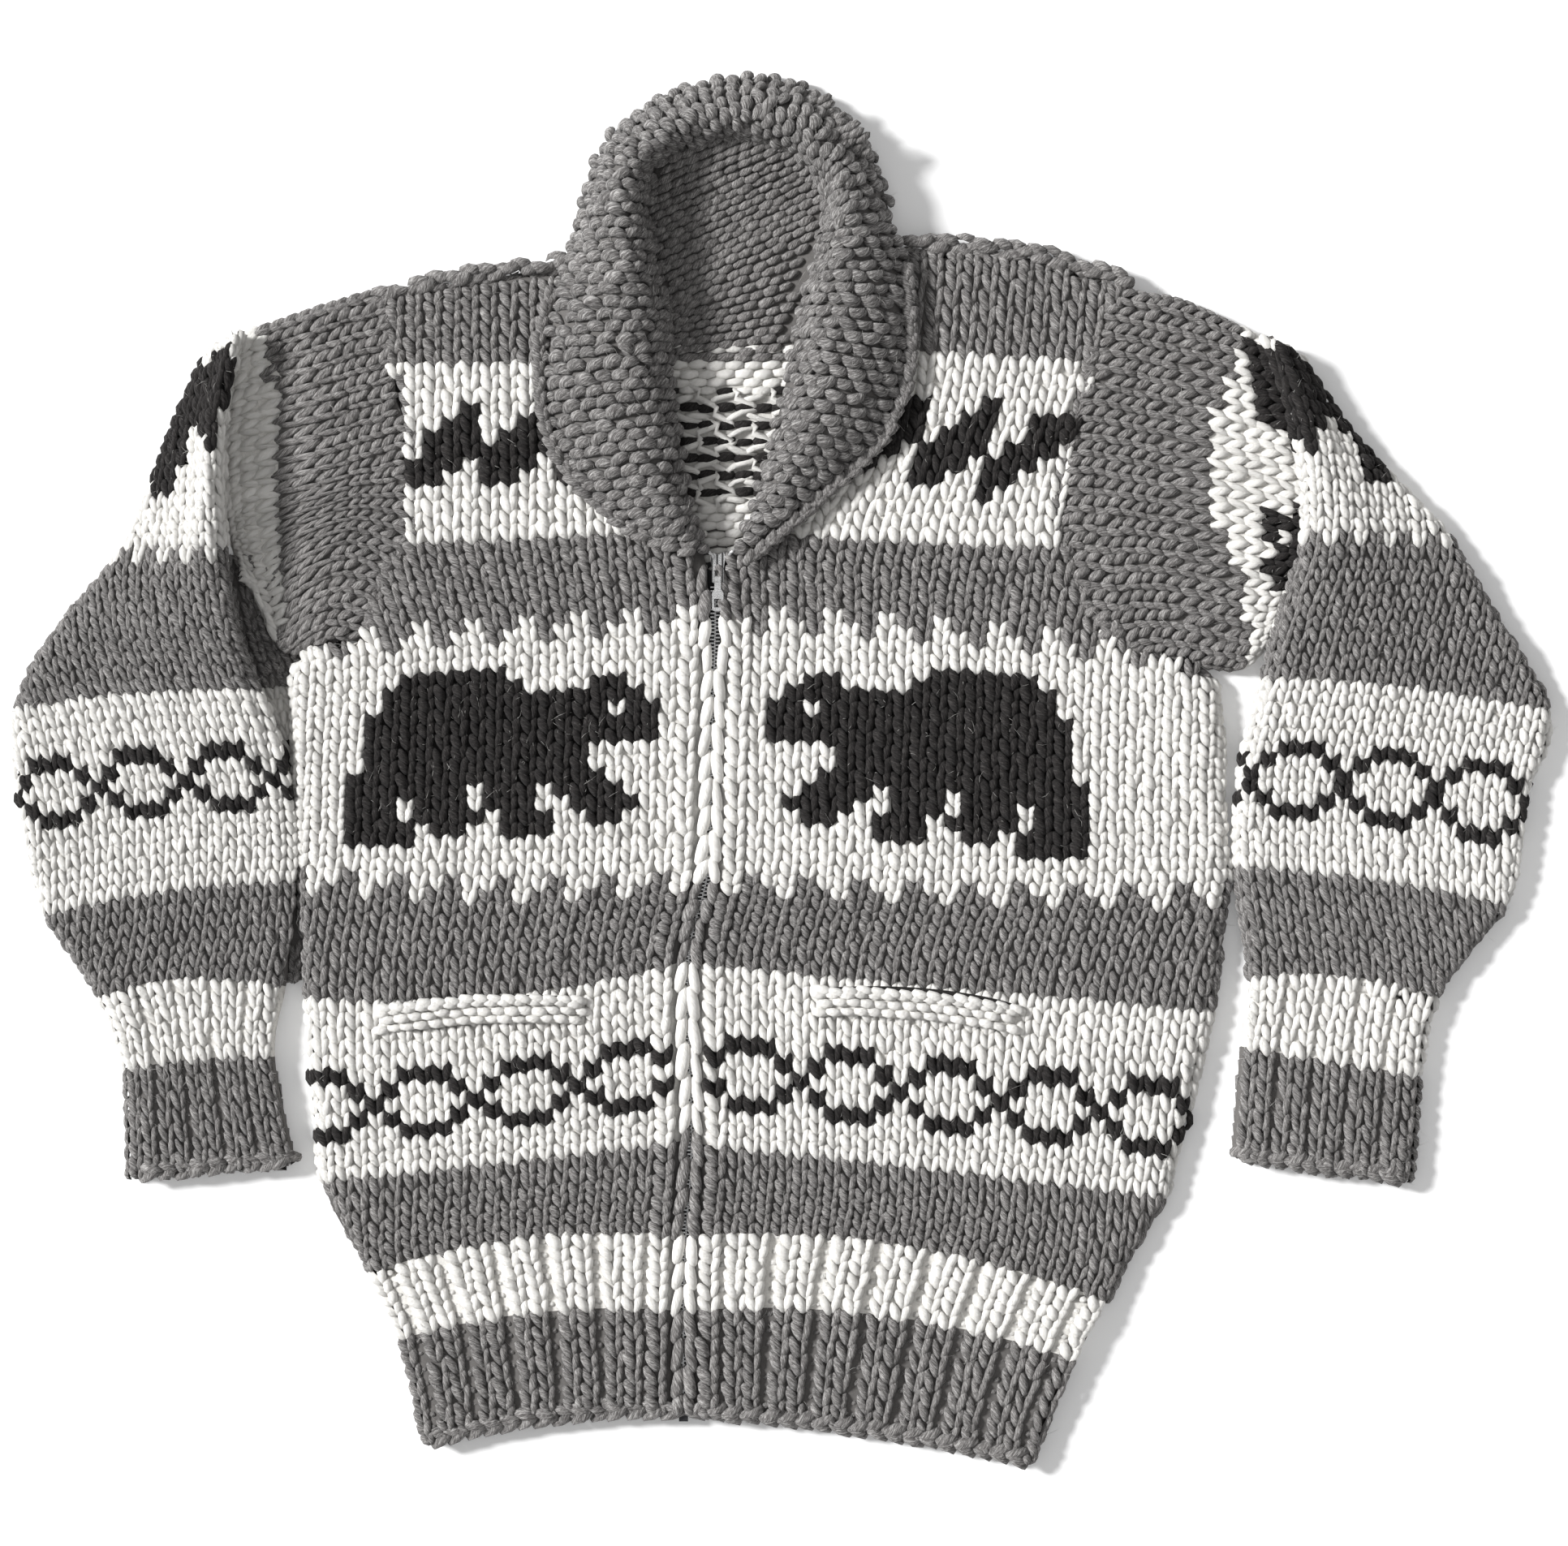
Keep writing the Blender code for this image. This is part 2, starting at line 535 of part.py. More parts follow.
def lower_ring(row):
    """Ring across the lower sleeve: over the top, round the tucked side, back underneath."""
    length = math.hypot(row.inner_x - row.outer_x, row.inner_y - row.outer_y)
    go_x = (row.inner_x - row.outer_x) / length
    go_y = (row.inner_y - row.outer_y) / length

    def place(distance, height):
        at = distance / length
        bow = 4 * row.bow * at * (1 - at)
        return (row.outer_x + go_x * distance, row.outer_y + go_y * distance + bow, height)

    tuck = min(1.0, max(0.0, row.tuck))
    inner_inset = 7.0 + 3.0 * tuck
    ring = []
    count = CUFF_REPEATS * len(RIB_SHAPE)
    for step in range(count + 1):
        distance = FOLD + (length - FOLD - inner_inset) * step / count
        height = row.outer_z + (row.inner_z - row.outer_z) * smooth(distance / length * 1.15)
        rise = RIB_HEIGHT * (RIB_SHAPE[step % len(RIB_SHAPE)] - 0.6) * row.rib
        ring.append(place(distance, height + rise))
    high = row.inner_z
    flat_side = ((2.0, high * 0.86), (0.0, high / 2), (2.0, high * 0.14), (5.0, 0.4), (7.0, 0.0))
    heaped_side = ((3.0, high - 4.0), (0.0, (high + BED) / 2 + 1), (3.0, STACK + SEAM),
                   (14.0, STACK + SEAM), (14.5, 0.0))
    for (flat_inset, flat_z), (heap_inset, heap_z) in zip(flat_side, heaped_side):
        inset = flat_inset + (heap_inset - flat_inset) * tuck
        ring.append(place(length - inset, flat_z + (heap_z - flat_z) * tuck))
    for step in (0.66, 0.33):
        ring.append(place(FOLD + (length - FOLD - 16.0) * step, 0.0))
    ring.append(place(FOLD, 0.0))
    ring.append(place(2.0, row.outer_z * 0.14))
    ring.append(place(0.0, row.outer_z / 2))
    ring.append(place(2.0, row.outer_z * 0.86))
    return ring


def slit_ring(row):
    """Ring of the thin hollow inside the cuff end."""
    ring = []
    for height, steps in ((FOLD - HOLLOW / 2, (0.1, 0.35, 0.65, 0.9)),
                          (FOLD + HOLLOW / 2, (0.9, 0.65, 0.35, 0.1))):
        for at in steps:
            x = row.outer_x + (row.inner_x - row.outer_x) * at
            y = row.outer_y + (row.inner_y - row.outer_y) * at + 4 * row.bow * at * (1 - at)
            ring.append((x, y, height))
    return ring


def build_lower_sleeve(side, rows):
    places = []
    for number in range(len(rows) - 1):
        places.append(float(number))
        if number < len(rows) - 3:
            places.append(number + 0.5)
    places.append(len(rows) - 1.0)
    sleeve = loft(f"sleeve_lower_{side}", "grey wool", [lower_ring(between(rows, at)) for at in places])
    slit = [slit_ring(row) for row in rows[SLIT_FROM_ROW:]]
    slit.append([(x, y - 5.0, z) for x, y, z in slit[-1]])
    combine(sleeve, loft(f"slit_{side}", "grey wool", slit), "DIFFERENCE")


def roll_profile(at, low, crest, edge):
    """Height of the collar's roll from its neck edge (0) to its free edge (1)."""
    rise = smooth(at / 0.3) ** 0.5
    down = min(1.0, max(0.0, (at - 0.3) / 0.64))
    fall = 1.0 - (1.0 - (edge - low) / (crest - low)) * down ** 2.2
    lip = math.sqrt(max(0.0, 1.0 - max(0.0, (at - 0.86) / 0.14) ** 2))
    return low + (crest - low) * rise * fall * (0.25 + 0.75 * lip)


def collar_grids(rays, low, steps_between):
    """Top and underside of a stretch of the collar, one row of points for each ray."""
    top = []
    under = []
    count = (len(rays) - 1) * steps_between
    for number in range(count + 1):
        ray = between(rays, number / steps_between)
        top_row = []
        under_row = []
        for step in range(ROLL_STEPS + 1):
            at = 0.5 - 0.5 * math.cos(math.pi * step / ROLL_STEPS)
            x = ray.neck_x + (ray.edge_x - ray.neck_x) * at
            y = ray.neck_y + (ray.edge_y - ray.neck_y) * at
            top_row.append((x, y, max(low + 1.2, roll_profile(at, low + 3.0, ray.crest, ray.edge_z))))
            under_row.append((x, y, low))
        top.append(top_row)
        under.append(under_row)
    return top, under


def build_collar():
    """Two lapels on the fronts, and the back with its stand, which lies past the shoulders."""
    slab("collar_left", "grey wool", *collar_grids(LAPEL_LEFT, BED, 2))
    slab("collar_right", "grey wool", *collar_grids(LAPEL_RIGHT, BED, 2))
    roll = slab("collar_back", "grey wool", *collar_grids(BACK_ROLL, 0.0, 2))
    top = []
    under = []
    for row in BACK_STAND:
        places = [row.left + (row.right - row.left) * step / STAND_STEPS for step in range(STAND_STEPS + 1)]
        top.append([(x, row.y, row.z) for x in places])
        under.append([(x, row.y, 0.0) for x in places])
    combine(roll, slab("stand", "grey wool", top, under), "UNION")


def build_welts():
    """Garter bands under the pocket mouths, their upper edge standing a little off the front."""
    for name, welt in WELTS.items():
        top = []
        under = []
        for down, lift, gap in WELT_SECTION:
            top_row = []
            under_row = []
            for step in range(WELT_STEPS + 1):
                at = step / WELT_STEPS
                x = welt.left_x + (welt.right_x - welt.left_x) * at
                y = welt.left_y + (welt.right_y - welt.left_y) * at + 4 * WELT_BOW * at * (1 - at)
                y -= WELT_DEPTH * down
                base = STACK + SEAM + crease_lift(x, y) + 0.2
                end = 1.0 if 0 < step < WELT_STEPS else 0.4
                top_row.append((x, y, base + (WELT_THICK + lift) * end))
                under_row.append((x, y, base + gap))
            top.append(top_row)
            under.append(under_row)
        slab(name, "white wool", top, under)


def build_shoulder_seams():
    """The bound-off ridge that joins the front to the back along each shoulder."""
    for name, end in SHOULDERS.items():
        curve = bpy.data.curves.new(name, "CURVE")
        curve.dimensions = "3D"
        curve.bevel_depth = CORD_RADIUS * MM
        curve.bevel_resolution = 2
        curve.use_fill_caps = True
        spline = curve.splines.new("POLY")
        spline.points.add(SHOULDER_POINTS - 1)
        for number, point in enumerate(spline.points):
            at = number / (SHOULDER_POINTS - 1)
            x = through(end.outer_x, end.mid_x, end.inner_x, at)
            y = through(end.outer_y, end.mid_y, end.inner_y, at)
            point.co = (x * MM, y * MM, FOLD * MM, 1.0)
        curve.materials.append(material("grey wool"))
        garment.objects.link(bpy.data.objects.new(name, curve))


def zip_line():
    """(x, y, height of the teeth) along the zip, hem to neck. The teeth end below the slider."""
    line = [((left.inner_x + right.inner_x) / 2, left.inner_y, TEETH_TOP)
            for left, right in zip(FRONT_LEFT[:ARMHOLE_START + 1], FRONT_RIGHT)]
    x = (FRONT_LEFT[ARMHOLE_START + 1].inner_x + FRONT_RIGHT[ARMHOLE_START + 1].inner_x) / 2
    line.append((x, PIN_Y - TEETH_END, TEETH_TOP))
    line.append((x, PIN_Y - TEETH_END + 0.4, TAPE_TOP + 0.2))
    line.append((x, PIN_Y + SLIDER_LENGTH - 2.0, TAPE_TOP + 0.2))
    return line


def build_zip():
    """A tape with its row of teeth under each front edge, and the box at the foot."""
    line = zip_line()
    for side, away in (("left", -1.0), ("right", 1.0)):
        rings = []
        for x, y, teeth_top in line:
            near = x + away * SEAM / 2
            shape = ((near, WALL + 0.35), (near + away * TAPE_WIDTH, WALL + 0.35),
                     (near + away * TAPE_WIDTH, TAPE_TOP), (near + away * TEETH_WIDTH, TAPE_TOP),
                     (near + away * TEETH_WIDTH, teeth_top), (near, teeth_top))
            rings.append([(px, y, pz) for px, pz in shape])
        loft(f"zip_tape_{side}", "zip tape", rings)
    x, y = line[0][:2]
    bpy.ops.mesh.primitive_cube_add(size=1.0, location=(x * MM, (y - 3.0) * MM, (WALL + 2.6) * MM))
    foot = bpy.context.object
    foot.name = "zip_box"
    foot.scale = (5.6 * MM, 4.4 * MM, 4.0 * MM)
    adopt(foot, "zip metal")


def adopt(piece, finish):
    """Applies the scale of a primitive, and gives it its finish and collection."""
    bpy.ops.object.transform_apply(location=False, rotation=False, scale=True)
    piece.data.materials.append(material(finish))
    for holder in list(piece.users_collection):
        holder.objects.unlink(piece)
    garment.objects.link(piece)
    return piece


def flat_plate(name, finish, outlines, thick, low, origin):
    """A plate from flat outlines about an origin, its underside at the height low over it."""
    curve = bpy.data.curves.new(name, "CURVE")
    curve.dimensions = "2D"
    curve.fill_mode = "BOTH"
    curve.extrude = thick / 2 * MM
    for outline in outlines:
        spline = curve.splines.new("POLY")
        spline.points.add(len(outline) - 1)
        spline.use_cyclic_u = True
        for point, (x, y) in zip(spline.points, outline):
            point.co = (x * MM, y * MM, 0.0, 1.0)
    drawn = bpy.data.objects.new(f"{name} outline", curve)
    garment.objects.link(drawn)
    graph = bpy.context.evaluated_depsgraph_get()
    mesh = bpy.data.meshes.new_from_object(drawn.evaluated_get(graph))
    cage = bmesh.new()
    cage.from_mesh(mesh)
    bmesh.ops.remove_doubles(cage, verts=cage.verts, dist=1e-6)
    bmesh.ops.translate(cage, verts=cage.verts, vec=(0.0, 0.0, (low + thick / 2) * MM))
    bmesh.ops.recalc_face_normals(cage, faces=cage.faces)
    cage.to_mesh(mesh)
    cage.free()
    bpy.data.objects.remove(drawn)
    mesh.materials.clear()
    mesh.materials.append(material(finish))
    made = bpy.data.objects.new(name, mesh)
    made.location = [value * MM for value in origin]
    garment.objects.link(made)
    return made


def lying_cylinder(name, radius, length, sides, origin):
    """A cylinder along X about a point."""
    bpy.ops.mesh.primitive_cylinder_add(vertices=sides, radius=radius * MM, depth=length * MM,
                                        location=[value * MM for value in origin],
                                        rotation=(0.0, math.pi / 2, 0.0))
    made = bpy.context.object
    made.name = name
    return adopt(made, "zip metal")


def build_slider():
    """The slider's shield-shaped body, with two ears and the pin that carries the pull."""
    half = SLIDER_WIDTH / 2
    top = SLIDER_LENGTH - 2.0
    shield = [(-half * 0.62, -2.2), (half * 0.62, -2.2), (half * 0.8, top * 0.45), (half, top * 0.8),
              (half * 0.8, top), (half * 0.2, top - 1.6), (-half * 0.2, top - 1.6),
              (-half * 0.8, top), (-half, top * 0.8), (-half * 0.8, top * 0.45)]
    base = (PIN_X, PIN_Y, 0.0)
    slider = flat_plate("zip_slider", "zip metal", [shield], SLIDER_TOP - SLIDER_LOW, SLIDER_LOW, base)
    ear_height = EYE_RADIUS + 0.5 + PIN_RADIUS + 0.9 + 1.0
    for side in (-1.0, 1.0):
        low_x = side * (EAR_GAP + EAR_THICK) / 2 - EAR_THICK / 2
        foot = [(low_x, -1.9), (low_x + EAR_THICK, -1.9), (low_x + EAR_THICK, 6.0), (low_x, 6.0)]
        ear = flat_plate(f"ear {side:+.0f}", "zip metal", [foot], ear_height, SLIDER_TOP - 1.0, base)
        combine(slider, ear, "UNION")
    pin = lying_cylinder("pin", PIN_RADIUS, EAR_GAP + EAR_THICK, 12, (PIN_X, PIN_Y, PIN_Z))
    combine(slider, pin, "UNION")


def build_pull():
    """The pull tab hangs by its eye on the pin and lies along the zip, with its window."""
    pin = (PIN_X, PIN_Y, PIN_Z)
    half = PULL_WIDTH / 2
    neck = 2.0
    outline = [(-neck, -1.5), (-neck, -6.0), (-half, -8.5), (-half, 1.0 - PULL_LENGTH),
               (1.0 - half, -PULL_LENGTH), (half - 1.0, -PULL_LENGTH), (half, 1.0 - PULL_LENGTH),
               (half, -8.5), (neck, -6.0), (neck, -1.5)]
    window = [(1.3 - half, -12.0), (1.3 - half, -17.4), (half - 1.3, -17.4), (half - 1.3, -12.0)]
    pull = flat_plate("zip_pull", "zip metal", [outline, window], PULL_THICK, -PULL_THICK / 2, pin)
    combine(pull, lying_cylinder("eye", EYE_RADIUS, 2 * neck, 20, pin), "UNION")
    combine(pull, lying_cylinder("bore", EYE_BORE, 3 * neck, 20, pin), "DIFFERENCE")
    pull.rotation_euler = (math.radians(PULL_DROOP), 0.0, 0.0)


clear_scene()
garment = new_collection("cowichan cardigan")
helpers = new_collection("helpers")
build_back()
build_fronts()
build_upper_sleeve("left", UPPER_LEFT, FRONT_LEFT)
build_upper_sleeve("right", UPPER_RIGHT, FRONT_RIGHT)
build_lower_sleeve("left", LOWER_LEFT)
build_lower_sleeve("right", LOWER_RIGHT)
build_collar()
build_welts()
build_shoulder_seams()
build_zip()
build_slider()
build_pull()
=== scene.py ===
import json
import math

import bpy
import numpy as np
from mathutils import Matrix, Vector
from mathutils.bvhtree import BVHTree

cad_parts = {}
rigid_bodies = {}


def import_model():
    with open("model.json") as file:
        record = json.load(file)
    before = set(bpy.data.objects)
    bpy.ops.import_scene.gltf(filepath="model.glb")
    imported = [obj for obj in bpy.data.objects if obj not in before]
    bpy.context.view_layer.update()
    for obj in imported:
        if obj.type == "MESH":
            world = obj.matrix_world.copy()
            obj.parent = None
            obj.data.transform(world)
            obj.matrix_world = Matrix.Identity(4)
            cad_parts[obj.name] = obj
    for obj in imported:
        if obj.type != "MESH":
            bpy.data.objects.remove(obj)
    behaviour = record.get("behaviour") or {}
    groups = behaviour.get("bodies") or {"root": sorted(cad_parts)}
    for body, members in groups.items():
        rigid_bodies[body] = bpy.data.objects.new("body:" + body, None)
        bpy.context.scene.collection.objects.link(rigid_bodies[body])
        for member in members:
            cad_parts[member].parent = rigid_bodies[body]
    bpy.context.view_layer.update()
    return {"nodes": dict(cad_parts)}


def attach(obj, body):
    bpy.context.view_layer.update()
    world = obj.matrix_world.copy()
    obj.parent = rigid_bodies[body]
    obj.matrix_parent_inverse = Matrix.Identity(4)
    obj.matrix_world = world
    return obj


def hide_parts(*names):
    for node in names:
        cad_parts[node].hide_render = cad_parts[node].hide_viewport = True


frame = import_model()
print("frame loaded:", len(frame["nodes"]), "nodes")

mm = 0.001  # tables and surfaces are in millimetres, meshes in metres
sky = 0.2  # rays start above everything
grey, white, dark = 0, 1, 2  # yarn colours in the charts
wale = 10.65  # width of a plain column of stitches
bodyRows, sleeveRows, ribRows = 89, 62, 14
dice = np.random.default_rng(17)


# reading the frame

def treeOf(*names):
    points, faces = [], []
    for name in names:
        mesh = frame["nodes"][name].data
        low = len(points)
        points += [vertex.co.copy() for vertex in mesh.vertices]
        faces += [[low + corner for corner in face.vertices] for face in mesh.polygons]
    return BVHTree.FromPolygons(points, faces)


def hitOf(tree, x, y, up=1):
    return tree.ray_cast(Vector((x * mm, y * mm, sky * up)), Vector((0, 0, -up)))[0]


def ease(value):
    value = np.clip(value, 0.0, 1.0)
    return value * value * (3 - 2 * value)


def parabola(first, middle, last, at):
    return first * (2 * at - 1) * (at - 1) + 4 * middle * at * (1 - at) + last * at * (2 * at - 1)


def spread(count):
    return 0.5 - 0.5 * np.cos(np.pi * np.linspace(0, 1, count))


def unit(vectors):
    return vectors / np.maximum(np.linalg.norm(vectors, axis=-1, keepdims=True), 1e-9)


def stepsOf(line):
    # how far along a line of points each of them lies
    return np.concatenate([[0], np.cumsum(np.linalg.norm(np.diff(line, axis=0), axis=1))])


def resampled(at, along, line):
    return np.stack([np.interp(at, along, line[:, axis]) for axis in range(3)], 1)


def rounded(line, turns):
    for turn in range(turns):
        line[1:-1] = (line[:-2] + 2 * line[1:-1] + line[2:]) / 4
    return line


def dense(table, step=1.0):
    # rows of a table on a smooth curve; the first column is the stitch row
    table = np.array(table, float)
    at = np.arange(table[0, 0], table[-1, 0] + step / 2, step)
    place = np.interp(at, table[:, 0], np.arange(len(table)))
    low = np.minimum(place.astype(int), len(table) - 2)
    part = (place - low)[:, None]
    before, first, last, beyond = (table[np.clip(low + move, 0, len(table) - 1)] for move in (-1, 0, 1, 2))
    rows = (2 * first + (last - before) * part + (2 * before - 5 * first + 4 * last - beyond) * part ** 2
            + (3 * first - before - 3 * last + beyond) * part ** 3) / 2
    rows[:, 0] = at
    return rows


def drape(tree, x, y, up=1):
    # heights of the frame along a plan line, from above or from below
    heights = np.full(len(x), np.nan)
    for number, place in enumerate(zip(x, y)):
        hit = hitOf(tree, *place, up)
        if hit is not None:
            heights[number] = hit.z / mm
    good = ~np.isnan(heights)
    if not good.any():
        return np.full(len(x), 7.0), good
    places = np.arange(len(x))
    return np.interp(places, places[good], heights[good]), good


def reachOf(line, good):
    # where a line of points starts and stops lying on the frame, measured along it
    along = stepsOf(line)
    return (along[good][0], along[good][-1]) if good.any() else (along[-1] / 2, along[-1] / 2)


def onFrame(tree, points, reach=0.0):
    # true where the frame lies over or under a point, or at this reach on all its sides
    beside = ((-reach, 0), (reach, 0), (0, -reach), (0, reach)) if reach else ((0, 0),)
    return np.array([all(hitOf(tree, x + dx, y + dy) is not None for dx, dy in beside)
                     for x, y, z in points], bool)


# knitted surfaces

def floats(k, j):
    return np.broadcast_arrays(np.asarray(k, float), np.asarray(j, float))


def whole(k, j):
    return np.asarray(k, int), np.asarray(j, int)


def cellsOf(columns, rows):
    return (grid.ravel() for grid in np.meshgrid(np.arange(*columns), np.arange(*rows)))


def middleOf(edges, k, j):
    return (edges(k, j + 0.5) + edges(k + 1, j + 0.5)) / 2


def brickEdges(pitch, back=0.0):
    # every other row starts half a cell on
    def edges(k, j):
        k, j = floats(k, j)
        return (k + 0.5 * (np.floor(j) % 2) - back) * pitch
    return edges


def evenEdges(pitch):
    return lambda k, j: k * pitch + 0 * j


class Cloth:
    # one line of points for each row of stitches; s runs along a row, j counts rows
    def __init__(self, lines, first=0.0, step=1.0, up=1, gap=2.5, settle=2):
        self.first, self.step, self.gap = first, step, gap
        lines = [np.asarray(line, float) for line in lines]
        alongs = [stepsOf(line) for line in lines]
        self.lengths = np.array([along[-1] for along in alongs])
        self.rows = first + step * np.arange(len(lines))
        wanted = np.arange(int(self.lengths.max() / gap) + 4) * gap
        self.points = np.zeros((len(lines), len(wanted), 3))
        for number, (line, along) in enumerate(zip(lines, alongs)):
            self.points[number] = resampled(wanted, along, line)
            last = line[-1] - line[-2]
            last = last / max(np.linalg.norm(last), 1e-6)
            past = wanted > along[-1]
            self.points[number, past] = line[-1] + (wanted[past] - along[-1])[:, None] * last
        for turn in range(settle):
            soft = self.points.copy()
            soft[:, 1:-1] = (self.points[:, :-2] + 2 * self.points[:, 1:-1] + self.points[:, 2:]) / 4
            self.points = rounded(soft, 1) if len(lines) > 2 else soft
        self.normals = unit(np.cross(np.gradient(self.points, axis=1), np.gradient(self.points, axis=0)))
        half = len(wanted) // 2
        seen = self.normals[:, :len(wanted) // 3] if up else self.normals[:, half - 3:half + 1]
        if seen[..., 2].mean() * (up or 1) < 0:
            self.normals = -self.normals
        # the part of each row that lies on the frame
        self.starts, self.stops = self.lengths * 0, self.lengths.copy()
        self.ends = {}  # last row that lies on the frame, by column

    def at(self, j, s):
        row = np.clip((j - self.first) / self.step, -0.8, len(self.points) - 0.2)
        low = np.clip(np.floor(row).astype(int), 0, len(self.points) - 2)
        part = (row - low)[..., None]
        column = s / self.gap
        left = np.clip(np.floor(column).astype(int), 0, self.points.shape[1] - 2)
        side = (column - left)[..., None]
        found = []
        for grid in (self.points, self.normals):
            near = grid[low, left] * (1 - side) + grid[low, left + 1] * side
            far = grid[low + 1, left] * (1 - side) + grid[low + 1, left + 1] * side
            found.append(near * (1 - part) + far * part)
        return found[0], unit(found[1])

    def length(self, j):
        return np.interp(j, self.rows, self.lengths)

    def reach(self, j):
        return np.interp(j, self.rows, self.starts), np.interp(j, self.rows, self.stops)

    def endOn(self, tree, edges, columns, lastRow, sure, moved=lambda points: points):
        # notes the last row of each column that lies on the frame; the first ones surely do
        at = np.arange(0, lastRow + 0.1, 0.5)
        for column in range(*columns):
            points, _ = self.at(at, edges(np.full(len(at), column), at))
            good = onFrame(tree, moved(points))
            good[:sure] = True
            self.ends[column] = at[np.nonzero(good)[0][-1]]


def quadsOf(rows, wide):
    # the faces of a grid of points, row after row
    r, c = np.meshgrid(np.arange(rows - 1), np.arange(wide - 1), indexing="ij")
    corner = (r * wide + c).ravel()
    return np.stack([corner, corner + 1, corner + wide + 1, corner + wide], -1)


class Yarn:
    # gathers lobes of yarn, then makes one mesh of each colour
    def __init__(self):
        self.batches = []

    def lobes(self, cloth, edges, k, j, path, colour, radius=0.235, tall=1.0, around=5, wobble=0.35, lift=0.0,
              fat=1.0, tilt=0.0):
        # path: across the cell from its middle, rows up, height in mm, share of the radius; ends have share 0
        if len(k) == 0:
            return
        colour = colour(k, j) if callable(colour) else colour
        path = np.array(path, float)
        number, rings = len(k), len(path)
        k, j = np.asarray(k, float), np.asarray(j, float)
        across, rows, height, share = (np.tile(column, (number, 1)) for column in path.T)
        shake = dice.normal(size=(number, 5))
        across = across + 0.045 * shake[:, :1] * wobble / 0.35
        height = height + wobble * shake[:, 1:2] + np.asarray(lift).reshape(-1, 1)
        rowAt = j[:, None] + rows + 0.07 * shake[:, 2:3] + tilt * shake[:, 4:] * across
        low, high = edges(k[:, None], rowAt), edges(k[:, None] + 1, rowAt)
        centre, normal = cloth.at(rowAt, (low + high) / 2 + (high - low) * across)
        centre = centre + normal * height[..., None]
        size = radius * np.clip(high - low, 6.0, 14.0) if radius < 1 else radius
        size = size * share * (1 + 0.09 * shake[:, 3:4]) * np.asarray(fat).reshape(-1, 1)
        along = unit(np.gradient(centre, axis=1))
        side = unit(np.cross(normal, along))
        rise = np.cross(along, side)
        turn = np.linspace(-0.12, math.pi + 0.12, around)[None, None, :, None]
        ring = side[:, 1:-1, None] * np.cos(turn) + rise[:, 1:-1, None] * np.sin(turn) * tall
        ring = ring * size[:, 1:-1, None, None] + centre[:, 1:-1, None]
        points = np.concatenate([centre[:, :1], ring.reshape(number, -1, 3), centre[:, -1:]], axis=1)
        points[..., 2] = np.maximum(points[..., 2], 0.1)  # pressed flat where it lies on the floor
        self.batches.append((points, rings - 2, around, np.broadcast_to(colour, (number,)).copy()))

    def build(self, name):
        made = []
        for colour, word in enumerate(("Grey", "White", "Dark")):
            lists = [[] for turn in range(6)]  # points, quads, triangles, uv, seed and cell
            start = lobe = 0
            for verts, rings, around, colours in self.batches:
                verts = verts[colours == colour]
                number = len(verts)
                if number == 0:
                    continue
                each = rings * around + 2
                base = (start + np.arange(number) * each)[:, None, None]
                c = np.arange(around - 1)
                end = 1 + (rings - 1) * around
                tips = np.concatenate([np.stack([c * 0, 2 + c, 1 + c], -1),
                                       np.stack([c * 0 + each - 1, end + c, end + c + 1], -1)])
                v = np.concatenate([[0.5], np.tile(np.linspace(0, 1, around), rings), [0.5]])
                u = np.concatenate([[0.0], np.repeat(np.linspace(0.12, 0.88, rings), around), [1.0]])
                found = (verts.reshape(-1, 3), (base + 1 + quadsOf(rings, around)).reshape(-1, 4),
                         (base + tips).reshape(-1, 3), np.tile(np.stack([u, v], 1), (number, 1)),
                         np.repeat(dice.random(number), each), np.repeat(lobe + np.arange(number), each))
                for items, more in zip(lists, found):
                    items.append(more)
                start += number * each
                lobe += number
            if start:
                piece = solid(f"{name}{word}", *(np.concatenate(items) for items in lists), lobe)
                dress(piece, wools[colour])
                made.append(piece)
        return made


def solid(name, points, quads, triangles=(), uv=None, seed=None, cell=None, cells=0):
    mesh = bpy.data.meshes.new(name)
    mesh.vertices.add(len(points))
    mesh.vertices.foreach_set("co", (np.asarray(points) * mm).astype(np.float32).ravel())
    corners = np.concatenate([np.asarray(quads).ravel(), np.asarray(triangles).ravel()]).astype(np.int32)
    counts = np.concatenate([np.full(len(quads), 4), np.full(len(triangles), 3)])
    mesh.loops.add(len(corners))
    mesh.loops.foreach_set("vertex_index", corners)
    mesh.polygons.add(len(counts))
    mesh.polygons.foreach_set("loop_start", np.concatenate([[0], np.cumsum(counts)[:-1]]).astype(np.int32))
    mesh.update(calc_edges=True)
    if uv is not None:
        wide = int(math.ceil(math.sqrt(cells)))
        place = np.stack([cell % wide, cell // wide], 1)
        for label, spots in (("yarn", uv), ("OFBake", (place + 0.05 + 0.9 * uv) / wide)):
            layer = mesh.uv_layers.new(name=label)
            layer.data.foreach_set("uv", spots[corners].astype(np.float32).ravel())
        mesh.attributes.new("seed", "FLOAT", "POINT").data.foreach_set("value", seed.astype(np.float32))
    mesh.shade_smooth()
    piece = bpy.data.objects.new(name, mesh)
    bpy.context.scene.collection.objects.link(piece)
    return piece


def dress(piece, material):
    piece.data.materials.append(material)
    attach(piece, "garment")


